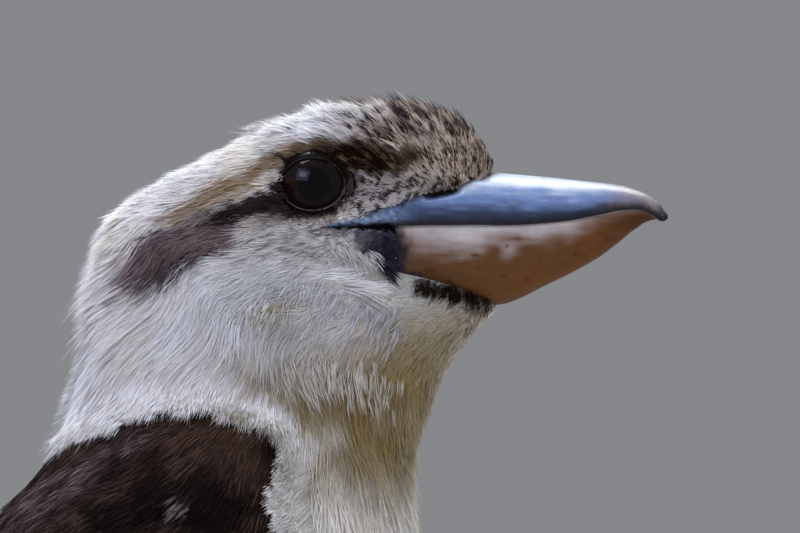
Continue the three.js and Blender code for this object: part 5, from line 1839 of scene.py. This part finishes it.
def makeLeg(sideName):
    heel, ankle = np.array(leg["heel"], float), np.array(leg["ankle"], float)
    path = [heel, (heel + ankle) / 2, ankle]
    points, t = tube(path, [3.9, 2.9, 2.7, 3.2], 110, 40, 0.9, scutes(11, 0.28))
    colours = legTint(points, groovesOf(points, t, 11, 0.12))
    shape = gridShape(points, colours, lattice(t, np.arange(40) / 40))
    addPiece("tarsus_scutes", shape, legMaterial, ["tarsus"], sideName)
    parts = []
    start = np.array([ankle[0], ankle[1], leg["toeHeight"] + 0.6])
    for k, (name, toe) in enumerate(toes.items()):
        path, way = toePath(toe, start)
        number = int(toe["length"] / 1.9)
        root, tip = toe["root"], toe["tip"]
        radii = [root, root * 0.92, root * 0.9, tip * 1.04, tip]
        points, t = tube(path, radii, 90, 32, 1, scutes(number, 0.3))
        points = onFloor(points)
        # two more rings close the toe round the root of the claw
        end, last = points[-1].mean(0), points[-1:]
        rings = [end + (last - end) * size + way * ahead for size, ahead in ((0.6, 0.8), (0.05, 1.1))]
        cap = onFloor(np.concatenate([points, *rings]))
        grooves = np.concatenate([groovesOf(points, t, number, 0.14), np.zeros((2, 32))])
        bake = lattice(np.append(t, [1, 1]), np.arange(32) / 32 * 0.22 + 0.25 * k)
        parts.append(gridShape(cap, legTint(cap, grooves), bake))
        makeClaw(name, toe, path[-1], way, sideName)
    # the pad under the ankle that the toes grow out of
    path = [(-39, ankle[1], 2.9), (-44, ankle[1], 3), (-51, ankle[1], 2.8)]
    pad, t = tube(path, [1.5, 4.6, 5, 4.6, 1.5], 30, 32)
    pad[..., 2] = np.clip(pad[..., 2], floorGap, 6)
    colours = legTint(pad, np.zeros(pad.shape[:2]))
    parts.append(gridShape(pad, colours, lattice(t, np.arange(32) / 32 * 0.02 + 0.97)))
    addPiece("toes", joinShapes(parts), legMaterial, ["foot"], sideName)


def makeClaw(name, toe, toeEnd, way, sideName):
    start = toeEnd + way * 0.3
    line = [(0, 0), (0.4, 0.1), (0.75, -0.08), (1, -0.2)]  # ahead and up, in lengths of the claw
    upward = np.array([0, 0, leg["claw"]])
    path = np.array([start + way * leg["claw"] * ahead + upward * up for ahead, up in line])
    claw, t = tube(path, [toe["tip"] * 0.86, toe["tip"] * 0.74, toe["tip"] * 0.45, 0.1], 40, 24, 0.75)
    bake = lattice(t, np.arange(24) / 24)
    colours = mixed(linear("#3c342e"), linear("#15110f"), np.clip(bake[..., 0] * 1.2, 0, 1))
    shape = gridShape(onFloor(claw), colours, bake)
    addPiece(f"claw_horn_{name}", shape, clawHorn, [f"claw_{name}"], sideName)


for sideName in ("left", "right"):
    makeThigh(sideName)
    makeLeg(sideName)
print("legs made")


# Floor, lights and camera
stageLook = {"floor": "#b3b1ad", "floorRadius": 4.0, "world": "#e6e9ee", "worldStrength": 0.3}


def makeStage():
    bpy.ops.mesh.primitive_circle_add(vertices=96, radius=stageLook["floorRadius"], fill_type="NGON")
    floor = bpy.context.active_object
    floor.name = "floor"
    material, shader = newMaterial("matt_floor")
    setInputs(material, shader, {"Base Color": (*linear(stageLook["floor"]), 1), "Roughness": 0.9})
    floor.data.materials.append(material)
    floor.visible_glossy = False  # the floor's far edge would draw a line across the eye
    world = bpy.data.worlds.new("studio")
    bpy.context.scene.world = world
    world.use_nodes = True
    background = world.node_tree.nodes["Background"]
    background.inputs["Color"].default_value = (*linear(stageLook["world"]), 1)
    background.inputs["Strength"].default_value = stageLook["worldStrength"]


head = Vector((birdShift / 1000, 0, eyeHeight / 1000))  # what the lights are turned to


def addSoftbox(name, direction, distance, size, watts, colour, mirrored=True):
    light = bpy.data.lights.new(name, "AREA")
    light.shape = "RECTANGLE"
    light.size, light.size_y = size
    light.energy = watts
    light.color = linear(colour)
    box = bpy.data.objects.new(name, light)
    box.location = head + Vector(direction).normalized() * distance
    box.rotation_euler = (head - box.location).to_track_quat("-Z", "Y").to_euler()
    box.visible_glossy = mirrored  # where False, it gives light but doesn't show in the eye and the bill
    bpy.context.scene.collection.objects.link(box)


# The view: the head in right profile, seen square on from the bird's right side, in mm
view = {"centreX": 21.25, "centreZ": 212.6, "across": 200, "distance": 2000, "sensor": 36}


def makeCamera():
    data = bpy.data.cameras.new("camera")
    data.sensor_width = view["sensor"]
    data.lens = view["sensor"] * view["distance"] / view["across"]
    data.clip_end = 100
    camera = bpy.data.objects.new("camera", data)
    aim = Vector(((view["centreX"] + birdShift) / 1000, 0, view["centreZ"] / 1000))
    camera.location = aim + Vector((0, -view["distance"] / 1000, 0))
    camera.rotation_euler = (aim - camera.location).to_track_quat("-Z", "Y").to_euler()
    bpy.context.scene.collection.objects.link(camera)
    bpy.context.scene.camera = camera


makeStage()
addSoftbox("sky_left", (-0.61, -0.62, 0.5), 1.3, (1.0, 0.85), 4.2, "#c6ccff")
addSoftbox("catch_light", (-0.6, -0.62, 0.53), 1.2, (0.5, 0.34), 2.6, "#c3c9ff")
addSoftbox("overhead", (-0.06, 0.3, 1), 4.2, (5.4, 3.0), 285, "#f8f9ff")
addSoftbox("top_front", (-0.15, -0.4, 1), 3.6, (3, 2.4), 48, "#f4f6ff", False)
addSoftbox("front", (0.5, -1, -0.05), 2.4, (1.8, 1.2), 11.5, "#fff5e8", False)
addSoftbox("rim_right", (0.6, 0.9, 0.35), 1.8, (1.0, 1.0), 6, "#ffffff", False)
makeCamera()
bpy.context.scene.view_settings.view_transform = "Standard"
print("stage made")
